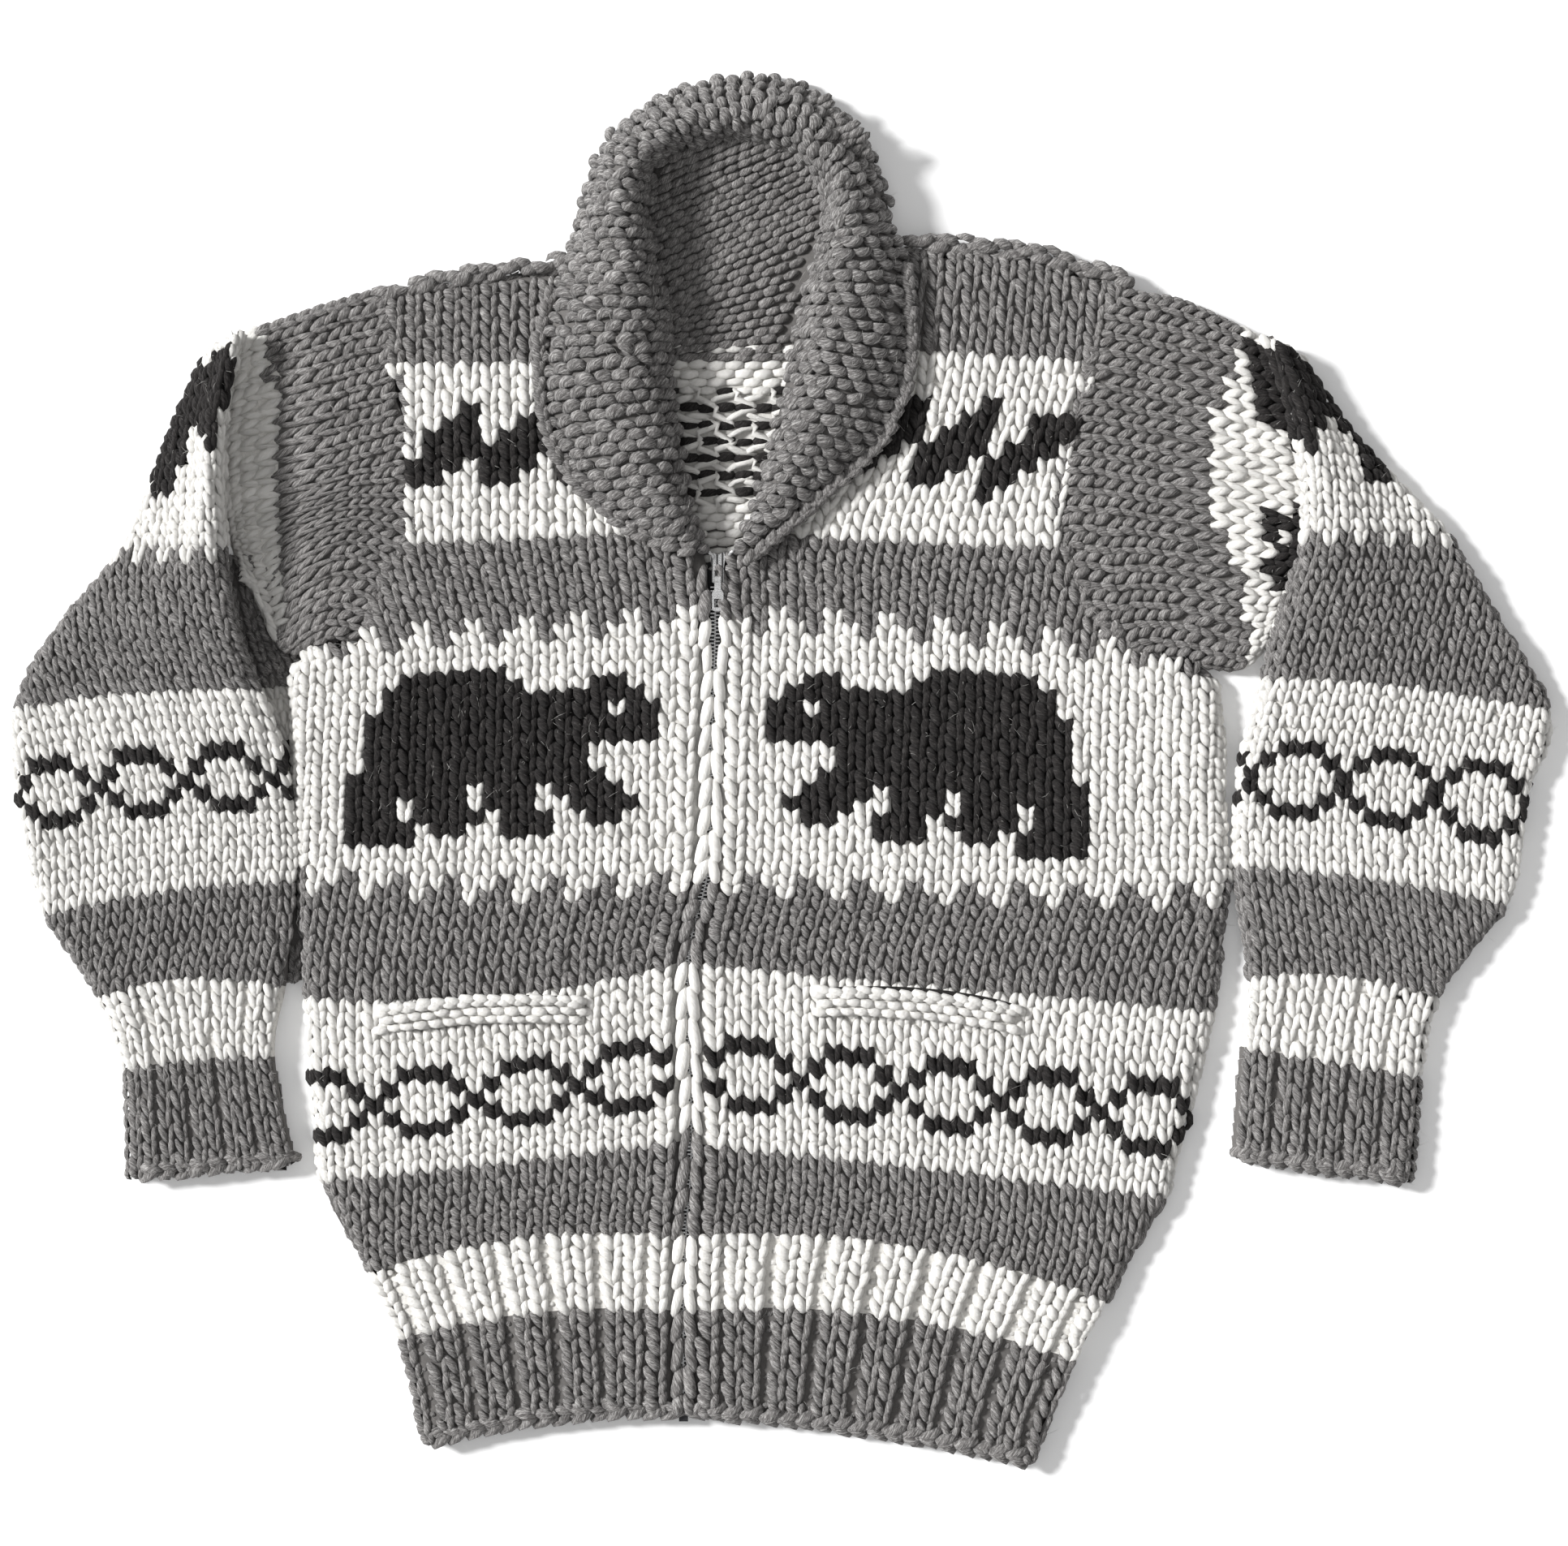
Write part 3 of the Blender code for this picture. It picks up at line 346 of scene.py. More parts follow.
def baseOf(name, cloth, edges, columns, rows, paint, top=-1.6, thick=3.0, node=None, floor=0.4):
    # the ground that the yarn lies on: a thin slab, one face for each stitch, in wool painted darker than the
    # yarn as shade in the gaps between stitches
    rows, columns = np.arange(*rows), np.arange(*columns)
    j, k = np.meshgrid(rows, columns, indexing="ij")
    reach = np.minimum(j, [[cloth.ends.get(int(column), rows[-1]) for column in columns]])
    points, normals = cloth.at(reach.astype(float), np.clip(edges(k, reach), *cloth.reach(reach)))
    layers = [points + normals * top, points + normals * (top - thick)]
    for layer in layers:
        layer[..., 2] = np.maximum(layer[..., 2], floor)
    size, wide, last = j.size, len(columns), (len(rows) - 1) * len(columns)
    ends = [(n, n + 1) for n in range(wide - 1)] + [(last + n + 1, last + n) for n in range(wide - 1)]
    for n in range(0, last, wide):
        ends += [(n + wide, n), (n + wide - 1, n + 2 * wide - 1)]
    sheet = quadsOf(len(rows), wide)
    faces = np.concatenate([sheet, sheet[:, ::-1] + size, [[a, size + a, size + b, b] for a, b in ends]])
    if np.cross(points[0, 1] - points[0, 0], points[1, 0] - points[0, 0]) @ normals[0, 0] < 0:
        faces = faces[:, ::-1]
    piece = solid(name, np.concatenate([layer.reshape(-1, 3) for layer in layers]), faces)
    for wool in shadedGrounds:
        piece.data.materials.append(wool)
    colours = paint(k[:-1, :-1].ravel(), j[:-1, :-1].ravel())
    colours = np.concatenate([colours, colours, np.zeros(len(ends), int)]).astype(np.int32)
    piece.data.polygons.foreach_set("material_index", colours)
    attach(piece, "garment")
    if node:
        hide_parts(*node)


# materials

def put(tree, kind, inputs=None, **settings):
    node = tree.nodes.new("ShaderNode" + kind)
    for key, value in settings.items():
        setattr(node, key, value)
    for key, value in (inputs or {}).items():
        if isinstance(value, bpy.types.NodeSocket):
            tree.links.new(value, node.inputs[key])
        else:
            node.inputs[key].default_value = value
    return node


def maths(tree, operation, *values):
    return put(tree, "Math", dict(enumerate(values)), operation=operation).outputs[0]


def ranged(tree, value, low, high, least=0.0, most=1.0):
    return put(tree, "MapRange", {"Value": value, "From Min": low, "From Max": high, "To Min": least,
                                  "To Max": most}).outputs[0]


def blended(tree, part, first, second):
    return put(tree, "Mix", {0: part, 6: first, 7: second}, data_type="RGBA").outputs[2]


def noiseOf(tree, place, scale, detail, rough=0.5):
    return put(tree, "TexNoise", {"Vector": place, "Scale": scale, "Detail": detail,
                                  "Roughness": rough}).outputs[0]


def newGroup(name, inputs, outputs):
    # inputs come with their defaults, a vector's with none, and outputs with their kinds
    tree = bpy.data.node_groups.new(name, "ShaderNodeTree")
    for label, value in inputs.items():
        kind = "Vector" if value is None else "Color" if isinstance(value, tuple) else "Float"
        socket = tree.interface.new_socket(name=label, in_out="INPUT", socket_type="NodeSocket" + kind)
        if value is not None:
            socket.default_value = value
    for label, kind in outputs.items():
        tree.interface.new_socket(name=label, in_out="OUTPUT", socket_type="NodeSocket" + kind)
    return tree, tree.nodes.new("NodeGroupInput").outputs, tree.nodes.new("NodeGroupOutput").inputs


def heatherGroup():
    # mixed fibres that turn with the yarn's twist, a tone for each stitch, and painted crease shade that
    # darkens the yarn towards the sides and ends of its lobes
    tree, given, out = newGroup("heather", {
        "Yarn": None, "Seed": 0.5, "Base": (0.2, 0.2, 0.2, 1), "Light": (0.4, 0.4, 0.4, 1),
        "Deep": (0.1, 0.1, 0.1, 1), "Mix": 0.5, "Crease": 0.4}, {"Color": "Color", "Fibres": "Float"})
    parts = put(tree, "SeparateXYZ", {0: given["Yarn"]}).outputs
    turned = maths(tree, "MULTIPLY_ADD", parts["X"], 1.3, parts["Y"])
    place = put(tree, "CombineXYZ", {"X": maths(tree, "MULTIPLY", parts["X"], 3.2),
                                     "Y": maths(tree, "MULTIPLY", turned, 8.0),
                                     "Z": maths(tree, "MULTIPLY", given["Seed"], 90.0)}).outputs[0]
    fibres = put(tree, "Mix", {0: 0.42, 2: noiseOf(tree, place, 1.0, 4.0, 0.75),
                               3: noiseOf(tree, place, 3.4, 2.0, 0.6)}).outputs[0]
    colour = given["Base"]
    for towards, limit in (("Light", 0.64), ("Deep", 0.37)):
        part = maths(tree, "MULTIPLY", ranged(tree, fibres, 0.5, limit), given["Mix"])
        colour = blended(tree, part, colour, given[towards])
    # painted crease shade: darker towards the sides and ends of each lobe, where the lobes shade each other
    creases = []
    for axis, start, stop in (("Y", 0.28, 0.52), ("X", 0.34, 0.5)):
        away = maths(tree, "ABSOLUTE", maths(tree, "SUBTRACT", parts[axis], 0.5))
        creases.append(ranged(tree, away, start, stop))
    shade = maths(tree, "MULTIPLY", maths(tree, "MAXIMUM", *creases), given["Crease"])
    tone = ranged(tree, given["Seed"], 0.0, 1.0, 0.88, 1.1)
    scale = maths(tree, "MULTIPLY", maths(tree, "SUBTRACT", 1.0, shade), tone)
    toned = put(tree, "VectorMath", {0: colour, "Scale": scale}, operation="SCALE").outputs[0]
    tree.links.new(toned, out["Color"])
    tree.links.new(fibres, out["Fibres"])
    return tree


def plyGroup():
    # the twist of the yarn as a height
    tree, given, out = newGroup("plyTwist", {"Yarn": None, "Fibres": 0.5, "Turns": 2.2}, {"Height": "Float"})
    parts = put(tree, "SeparateXYZ", {0: given["Yarn"]}).outputs
    slant = maths(tree, "ADD", maths(tree, "MULTIPLY", parts["X"], given["Turns"]), parts["Y"])
    wave = maths(tree, "SINE", maths(tree, "MULTIPLY", slant, 6.2832))
    low = maths(tree, "MULTIPLY", wave, 0.12)
    tree.links.new(maths(tree, "MULTIPLY_ADD", given["Fibres"], 2.2, low), out["Height"])
    return tree


def newMaterial(name, settings):
    made = bpy.data.materials.new(name)
    made.use_nodes = True
    shader = made.node_tree.nodes["Principled BSDF"].inputs
    for label, value in settings.items():
        shader[label].default_value = value
    return made, made.node_tree, shader


heather, ply = heatherGroup(), plyGroup()


def woolMaterial(name, look):
    made, tree, shader = newMaterial(name, {"Roughness": 0.92, "Sheen Weight": look["sheen"],
                                            "Sheen Roughness": 0.6, "Specular IOR Level": 0.2})
    uv = put(tree, "UVMap", uv_map="yarn").outputs[0]
    seed = put(tree, "Attribute", attribute_name="seed").outputs["Fac"]
    colours = {key: (*look[key], 1) for key in ("Base", "Light", "Deep")}
    fibres = put(tree, "Group", {"Yarn": uv, "Seed": seed, **colours, "Mix": look["mix"],
                                 "Crease": look["crease"]}, node_tree=heather).outputs
    twist = put(tree, "Group", {"Yarn": uv, "Fibres": fibres["Fibres"]}, node_tree=ply).outputs
    bump = put(tree, "Bump", {"Height": twist["Height"], "Strength": 1.0, "Distance": 0.0008})
    tree.links.new(fibres["Color"], shader["Base Color"])
    tree.links.new(bump.outputs[0], shader["Normal"])
    return made


# crease: how strong the painted crease shade is
woolLooks = {
    "woolGrey": {"Base": (0.20, 0.19, 0.185), "Light": (0.60, 0.585, 0.57), "Deep": (0.04, 0.036, 0.034),
                 "mix": 1.0, "crease": 0.35, "sheen": 0.14},
    "woolWhite": {"Base": (0.90, 0.885, 0.85), "Light": (0.96, 0.95, 0.93), "Deep": (0.74, 0.71, 0.66),
                  "mix": 0.5, "crease": 0.04, "sheen": 0.05},
    "woolDark": {"Base": (0.018, 0.0155, 0.015), "Light": (0.085, 0.08, 0.077),
                 "Deep": (0.0065, 0.006, 0.006), "mix": 0.9, "crease": 0.45, "sheen": 0.04},
}
wools = [woolMaterial(name, look) for name, look in woolLooks.items()]
# the collar's grey yarn with a darker base and stronger crease shade: painted shade where the garter bumps
# shade each other
garterShadedLook = {**woolLooks["woolGrey"], "Base": (0.165, 0.157, 0.153), "crease": 0.66}
shadedCollarWool = woolMaterial("woolGreyGarterShaded", garterShadedLook)


def groundMaterial(name, colour):
    made, tree, shader = newMaterial(name, {"Roughness": 0.95})
    noise = noiseOf(tree, put(tree, "TexCoord").outputs["Object"], 900.0, 2.0)
    low = (*[part * 0.6 for part in colour], 1)
    tree.links.new(blended(tree, noise, low, (*colour, 1)), shader["Base Color"])
    return made


# the ground's colours are the yarn's colours painted darker: painted shade between the stitches
shadedGroundLooks = {"groundGreyShaded": (0.15, 0.142, 0.136), "groundWhiteShaded": (0.82, 0.80, 0.76),
               "groundDarkShaded": (0.016, 0.014, 0.013)}
shadedGrounds = [groundMaterial(*look) for look in shadedGroundLooks.items()]
print("materials ready")


# knitting charts: X is dark yarn, rows run down from the top

rings = ["XXX...", "...X.X", "....X.", "....X.", "...X.X", "XXX..."]
diamonds = ["XXX...", "...X.X", "....X.", "...X.X", "XXX..."]
bear = ["...XXXXXX.........",
        "..XXXXXXXX....XX..",
        "..XXXXXXXXXXXXXXX.",
        ".XXXXXXXXXXXXXX.XX",
        ".XXXXXXXXXXXXXXXXX",
        ".XXXXXXXXXXXXXXXXX",
        ".XXXXXXXXXXXXX....",
        ".XXXXXXXXXXXXX....",
        "XXXXXXXXXXXXXXX...",
        "XXXXXXX.XXX.XXXX..",
        "XXX.XXX.XXX..XXXX.",
        "XXX.XXXX.XXX..XX..",
        "XXXX.XX..XXX......",
        "XXXX.............."]
slashLeft = [".......X.", "...X...X.", "..XX..XX.", ".XXX.XXX.", ".XXXXXXXX", "XXX.XXX.X", "XX..XX..X"]
slashRight = ["..XX...X.....", ".XXX..XX..XXX", "XXXX.XXX..XXX", "XXX.XXXX.XXX.", "XX..XXX.XXX..",
              "X...XX..XX...", "........X...."]
leafLeft = ["..........", "..........", ".XX.XX....", "XXXXXXXX..", "XXXXXXXXX.", "XXXXXXXXX.",
            ".XXXXXXXX.", ".XX.XXXXXX", ".X..XXXXXX", "....XXXXX.", ".....XXX..", ".....XX..."]
leafRight = ["...........", ".XX..XX.X..", "XXXXXXXXXX.", "XXXXXXXXXXX", "XXXXXXXXXXX", "XXXXXXXXXX.",
             "XXX.XXXXXX.", "XX...XXXX..", ".X...XXXX..", ".....XXX...", ".....XX....", "..........."]
cap = ["...", "XXX", "XXX", ".XX", "XXX", "XXX", "X..", "...", "...", "...", "X..", "XXX", "X.X", "XX.",
       "XXX", "XX."]

# lobes of yarn: across the cell, rows up, height, share of the radius
rightLeg = [(0.08, -0.4, -3.2, 0), (0.14, -0.12, -1.2, 0.66), (0.22, 0.25, -0.3, 0.86),
            (0.28, 0.7, -0.5, 0.88), (0.31, 1.0, -1.6, 0.7), (0.30, 1.25, -3.4, 0)]
leftLeg = [(0.04, -0.4, -3.0, 0), (-0.03, -0.14, -1.0, 0.72), (-0.17, 0.24, -0.2, 1.06),
           (-0.34, 0.64, -0.6, 1.04), (-0.44, 0.92, -1.9, 0.7), (-0.48, 1.12, -3.6, 0)]
flatLeg = [(0.05, -0.25, -3.0, 0), (0.13, 0.1, -1.1, 0.95), (0.32, 0.85, -1.1, 0.95), (0.36, 1.15, -3.0, 0)]
bar = [(-0.9, 0.5, -3.6, 0), (-0.55, 0.45, -2.6, 0.9), (0.0, 0.5, -2.4, 1.0), (0.4, 0.55, -2.6, 0.9),
       (0.8, 0.5, -3.6, 0)]
garter = [(-0.6, 0.2, -3.6, 0), (-0.46, 0.34, -1.7, 0.7), (-0.22, 0.52, -0.4, 0.96), (0.04, 0.6, 0.0, 1.04),
          (0.28, 0.52, -0.6, 0.94), (0.48, 0.32, -1.9, 0.68), (0.6, 0.2, -3.6, 0)]
small = [(-0.62, 0.42, -2.6, 0), (-0.42, 0.42, -0.9, 0.8), (0.0, 0.5, 0.0, 1.0), (0.42, 0.58, -0.9, 0.8),
         (0.62, 0.58, -2.6, 0)]
lip = [(-0.7, 0.12, -2.6, 0), (-0.4, -0.05, -0.2, 0.9), (0.1, 0.1, 0.6, 1.0), (0.5, 0.3, -0.2, 0.85),
       (0.75, 0.35, -2.6, 0)]
plait = [(-0.02, -0.5, -3.0, 0), (0.0, -0.2, -1.4, 0.8), (0.12, 0.25, -0.9, 1.0), (0.24, 0.7, -1.0, 1.0),
         (0.3, 1.0, -3.2, 0)]
edgeCord = [(0.18, -0.55, -3.0, 0), (0.18, -0.2, -1.0, 0.76), (0.11, 0.4, 0.3, 1.02), (-0.01, 1.1, 0.6, 1.08),
            (-0.13, 1.8, -0.5, 0.82), (-0.19, 2.4, -3.0, 0)]


def mirrored(path, really=True):
    return [(-across if really else across, *rest) for across, *rest in path]


def bandColour(j, edges):
    # alternate grey and white between the rows given
    return np.where(np.searchsorted(edges, j, side="right") % 2 == 1, white, grey)


def fromChart(chart, column, line):
    # a dark mask from lines of text; outside the chart nothing is dark
    rows, columns = len(chart), len(chart[0])
    cells = np.array([[mark == "X" for mark in text] for text in chart])
    inside = (line >= 0) & (line < rows) & (column >= 0) & (column < columns)
    return inside & cells[np.clip(line, 0, rows - 1), np.clip(column, 0, columns - 1)]


def plainPaint(colour):
    return lambda k, j: np.full(np.broadcast(k, j).shape, colour)


def joined(both):
    return lambda k, j: np.where(np.asarray(j) < ribRows, both[0](k, j), both[1](k, j))


def purlOf(k, j):
    # the narrow columns of the k2 p2 ribs
    return (j < ribRows) & (k % 4 % 3 == 0)


def ribPlace(k, at):
    # how many repeats of four columns lie before a column's edge
    return np.floor(k / 4) + np.interp(k % 4, np.arange(5), at) / 4


def knit(stitches, cloth, both, k, j, leg, paint, lift=0.0, **more):
    # ribs below, plain rows above; the dark yarn lies a little fatter and prouder
    colours = paint(k, j)
    for rows, edges in ((j < ribRows, both[0]), (j >= ribRows, both[1])):
        inked = colours[rows] == dark
        stitches.lobes(cloth, edges, k[rows], j[rows], leg, colours[rows], lift=lift + 0.5 * inked,
                       fat=1 + 0.16 * inked + 0.07 * (colours[rows] == white), **more)


# fronts

# stitch row, folded side x and y, middle y, x and y beside the zip, wale pitch, x where counting starts
frontRows = {
    "left": [
        (0, -222, -416, -401, -64, -397, 10.3, -64), (8, -237.5, -352, -335, -64, -334, 10.3, -64),
        (14, -255.5, -310, -288.5, -62.5, -287, 10.3, -62.5),
        (21, -285.5, -252.5, -241, -59, -228, 10.4, -59),
        (34, -294.5, -141, -140, -61, -119, 10.6, -61), (43, -299.5, -59, -65, -49, -62, 10.65, -49),
        (52, -302, 4, 7, -46.5, 12, 10.65, -46.5), (61, -304, 66, 78, -44.5, 85, 10.65, -44.5),
        (69, -304, 137, 142, -44.5, 148, 11.7, -48), (76, -304, 198, 201, -44.5, 205, 11.7, -48),
        (82, -304, 249, 251.5, -44.5, 251, 11.7, -48), (89, -304, 281, 305, -44.5, 316, 11.7, -48)],
    "right": [
        (0, 156.5, -428.5, -408, -58, -397, 9.9, -58), (8, 183.5, -365, -337, -58, -334, 9.9, -58),
        (14, 202.5, -328.5, -292.5, -56.5, -287, 9.9, -56.5),
        (21, 236, -262, -245, -53, -230, 10.0, -53),
        (34, 263, -148.5, -135, -55, -120, 10.7, -55), (43, 273, -68.5, -69, -43, -62, 11.1, -43),
        (52, 270.5, -6, 4, -41, 12, 11.1, -41), (61, 268, 56, 76.5, -38.5, 85, 11.1, -38.5),
        (69, 268, 139, 138.5, -38.5, 149, 12.0, -40), (76, 268, 198, 202, -38.5, 203, 10.6, -10.5),
        (82, 268, 243, 256.5, -38.5, 258, 11.0, -1.5), (89, 268, 283, 319.5, -38.5, 312, 11.1, 3)]}
# underarm and neck are rows: the side is folded round below one, the collar covers stitches above the other
frontLook = {"columns": 30, "selvedge": 10.5, "underarm": 61.5, "neck": 64, "edgeHeight": 7.0,
             "sideHeight": 7.2, "ribs": {"left": 5, "right": 7}}
# where the figures stand: a chart's way across, its first column and its last row
frontCharts = {"yoke": {"left": (slashLeft, -1, 13, 79), "right": (slashRight, 1, -3, 78)},
               "bear": (18, 58), "chain": (6, 28)}
frontBands = [8, 14, 21, 34, 43, 61, 69, 82]
jaggedUp, jaggedDown = (38, 50), (55, 66)  # between these rows a band's edge is jagged
ribAt = np.array([0.0, 0.35, 2.0, 3.65, 4.0])  # two narrow purl columns beside two wide knit ones
selvedge = frontLook["selvedge"]
chainWide, chainLast = frontCharts["chain"]


def frontPaint(side):
    def paint(k, j):
        k, j = whole(k, j)
        low = np.array((2, 0, 1))[(k + 1) % 3]
        high = np.array((2, 1, 0))[(k + (1 if side == "left" else 2)) % 3]
        jagged = np.where((j > jaggedUp[0]) & (j < jaggedUp[1]), j + low, j)
        jagged = np.where((j > jaggedDown[0]) & (j < jaggedDown[1]), j - high, jagged)
        chain = fromChart(diamonds, k % chainWide, chainLast - j) & (k >= -1)
        bearFirst, bearLast = frontCharts["bear"]
        yoke, way, first, last = frontCharts["yoke"][side]
        figure = fromChart(bear, bearFirst - k, bearLast - j) | fromChart(yoke, way * k + first, last - j)
        return np.where(chain | figure, dark, bandColour(jagged, frontBands))
    return paint


def frontEdges(side):
    # where each column starts, in the ribs and in the plain rows; two edge columns come before both
    rows = np.array(frontRows[side], float).T

    def ribbed(k, j):
        k, j = floats(k, j)
        flat = np.abs(np.interp(j, rows[0], rows[1]) - np.interp(j, rows[0], rows[4])) - 7
        repeat = (flat - 2 * selvedge) / frontLook["ribs"][side]
        return np.where(k < 0, (k + 2) * selvedge, 2 * selvedge + repeat * ribPlace(k, ribAt))

    def plain(k, j):
        k, j = floats(k, j)
        return np.where(k < 0, (k + 2) * selvedge, 2 * selvedge + k * np.interp(j, rows[0], rows[6]))
    return ribbed, plain


def frontCloth(side):
    tree = treeOf(f"front_{side}")
    away = -1 if side == "left" else 1
    rayHeight, rayFrom = 0.0074, 40
    lines, reaches = [], []
    for j, sideX, sideY, midY, innerX, innerY, _, fromX in dense(frontRows[side], 0.5):
        curled = j <= frontLook["underarm"]
        if curled:
            start = Vector(((sideX + away * rayFrom) * mm, sideY * mm, rayHeight))
            hit = tree.ray_cast(start, Vector((-away, 0, 0)))[0]
            sideX = hit.x / mm if hit else sideX
            if side == "right":
                sideX += 3.6 * ease((j - 16) / 6) * ease((62 - j) / 8)  # it touches the sleeve here
        x = fromX + (sideX - fromX) * spread(110)
        y = parabola(innerY, midY, sideY, (x - innerX) / (sideX - innerX))
        z, good = drape(tree, x, y)
        z = np.maximum(z, frontLook["edgeHeight"])
        if curled:
            z[-1] = frontLook["sideHeight"]
            good[:] = True
        lines.append(np.stack([x, y, z], 1))
        start, stop = reachOf(lines[-1], good)
        reaches.append((start + 5 * ease((j - 66) / 3), stop))  # the neck edge ends under the collar
    cloth = Cloth(lines, step=0.5)
    cloth.starts, cloth.stops = np.array(reaches).T
    return cloth


lapels = treeOf("collar_left", "collar_right")
tops = {}
for side in ("left", "right"):
    cloth, both, paint = frontCloth(side), frontEdges(side), frontPaint(side)
    edges = joined(both)
    tops[side] = cloth
    k, j = cellsOf((frontLook["columns"],), (bodyRows,))
    middle = middleOf(edges, k, j)
    start, stop = cloth.reach(j + 0.5)
    keep = (middle > start + 1) & (middle < stop + 3)
    k, j, middle = k[keep], j[keep], middle[keep]
    upper = j > frontLook["neck"]
    hidden = np.zeros(len(k), bool)
    hidden[upper] = onFrame(lapels, cloth.at(j[upper] + 0.5, middle[upper])[0], 6.0)
    k, j = k[~hidden], j[~hidden]
    plain, bars = ~purlOf(k, j), purlOf(k, j) & (k % 4 == 0)
    stitches = Yarn()
    for leg in (rightLeg, leftLeg):
        knit(stitches, cloth, both, k[plain], j[plain], mirrored(leg, side == "left"), paint)
    stitches.lobes(cloth, edges, k[bars], j[bars], bar, paint, radius=2.0)
    stitches.build(f"front{side.title()}Stitches")
    baseOf(f"front{side.title()}", cloth, edges, (-2, frontLook["columns"] + 1), (bodyRows + 1,), paint,
           node=[f"front_{side}"])
    print("front", side, "stitches", len(k))


# sleeves

# stitch row, inner edge x and y, outer edge x and y, bow towards the collar, lean
lowerRows = {
    "left": [(0, -299, -242, -405, -252, 0, 0), (8, -312, -177.5, -407, -186, 3, 0),
             (14, -306, -134, -423, -140.5, 9, 0), (21, -299, -68.5, -456.5, -90, 5, 0),
             (28.5, -301.5, -13.5, -471, -26, 4, 0), (36, -319, 49, -475.1, 37.5, 4, 0),
             (41.5, -332, 89, -448, 90, 2, 0), (47, -339, 138, -408, 138, 0, 0),
             (56.5, -340, 216.5, -376, 214, 0, 0), (62, -329, 269, -356, 260, 0, 0)],
    "right": [(0, 276, -239, 390, -253.5, 0, 0), (8, 281.5, -171, 395, -189.5, 0, 0),
              (14, 287, -128, 405.5, -140, 7, 0), (21, 278.5, -59, 449, -83.5, 4, 0),
              (28.5, 281.5, -1, 460, -19, 4, 0), (36, 294.5, 57, 475.5, 36, 4, 0),
              (42.5, 308, 105, 440, 97, 2, 0), (48, 319, 148, 410.5, 147, 0, 0),
              (56, 313, 211, 352, 208, 0, 0), (62, 296, 266, 322, 254, 0, 0)]}
# stitch row from the elbow fold to the armhole, top edge, underarm edge, bow, lean
upperRows = {
    "left": [(0, -337, 264, -330, 114, 0, -13), (1.5, -326, 272, -319, 94, 0, -16),
             (3.2, -312, 277, -308, 71, 0, -10), (7, -282, 287, -282, 77.5, 0, 8),
             (10, -258, 294, -258, 80, 0, 6), (16, -210, 301, -210, 84, 0, 0)],
    "right": [(0, 303, 262, 300, 78, 0, 21), (2, 288, 271, 290, 65, 0, 16), (4.6, 270, 280, 274, 60.5, 0, 6),
              (8.6, 243, 291, 246, 67, 0, -10), (13, 208, 296, 212, 74, 0, -12),
              (20, 152, 298, 158, 84, 0, -8)]}
cuffAt = np.array([0.0, 0.2, 2.0, 3.8, 4.0])
# columns' width, how many lie before the first, leaf chart with its first column, chain with first and last
lowerLooks = {
    "left": {"pitch": 8.9, "first": 2.4, "bands": [8, 14, 21, 36, 47], "leaf": (leafLeft, 2),
             "chain": (diamonds, 5, 31)},
    "right": {"pitch": 9.6, "first": 2.8, "bands": [8, 14, 21, 36, 48], "leaf": (leafRight, 3),
              "chain": (rings, 0, 30)}}
# how far the columns near the underarm rise in a fan, and where the white ends on some columns
upperLooks = {
    "left": {"arch": 24.0, "edge": ([0, 3, 6, 10, 17, 21, 22], [2.0, 3.0, 3.9, 3.95, 3.9, 2.4, 0])},
    "right": {"arch": 6.0, "edge": ([0, 3, 6, 10, 14, 18, 22], [2.4, 3.8, 5.4, 6.0, 4.4, 2.6, 2.0])}}
lowerColumns, upperColumns = (-3, 52), (0, 47)
capColumns, bunched = 21, 11.0  # columns over the top of the upper sleeve, and those before the underarm


def ringCloth(tree, rows, shape=None, count=40, overlap=12):
    # all round a flattened tube: over the top from the first end to the second, back underneath
    lines, tops, rounds = [], [], []
    share = spread(count)
    table = dense(rows, 0.5)
    hump = 4 * share * (1 - share)
    plan = [(startX + (endX - startX) * share + lean * hump, startY + (endY - startY) * share + bow * hump)
            for j, startX, startY, endX, endY, bow, lean in table]
    for number, (x, y) in enumerate(plan):
        probe = plan[min(max(number, 3), len(plan) - 3)]  # the end rows take their heights from further in
        over, _ = drape(tree, *probe, 1)
        if shape:
            over = over + shape(table[number, 0], x, share)
        under, _ = drape(tree, *probe, -1)
        under = np.maximum(under, 0.0)
        over[[0, -1]] = (over[[1, -2]] + under[[1, -2]]) / 2
        top = np.stack([x, y, over], 1)
        low = np.stack([x, y, under], 1)[1:-1][::-1]
        lines.append(np.concatenate([top, low, top[:overlap]]))
        tops.append(stepsOf(top)[-1])
        rounds.append(stepsOf(lines[-1][:1 - overlap])[-1])
    cloth = Cloth(lines, step=0.5, first=rows[0][0])
    cloth.tops = np.array(tops)
    cloth.lengths = cloth.stops = np.array(rounds)
    return cloth


def drawnIn(points):
    # towards the middle of the upper sleeve, so its own edges still count as lying on the frame
    return (points - [0, 186, 0]) * [1, 0.9, 1] + [0, 186, 0]


def wallStitches(cloth, both, paint, k, j, turned):
    # full legs where they can be seen from above, plain ones underneath
    normals = cloth.at(j + 0.5, middleOf(joined(both), k, j))[1]
    stitches = Yarn()
    seen = normals[:, 2] > -0.2
    for leg, flat in ((rightLeg, flatLeg), (leftLeg, mirrored(flatLeg))):
        knit(stitches, cloth, both, k[seen], j[seen], mirrored(leg, turned), paint)
        knit(stitches, cloth, both, k[~seen], j[~seen], flat, paint, around=3)
    return stitches


def lowerEdges(cloth, pitch, first):
    def ribbed(k, j):
        k, j = floats(k, j)
        return 5 + (np.interp(j, cloth.rows, cloth.tops) - 10) / 5 * ribPlace(k, cuffAt)
    return ribbed, lambda k, j: (k + first) * pitch + 0.0 * j


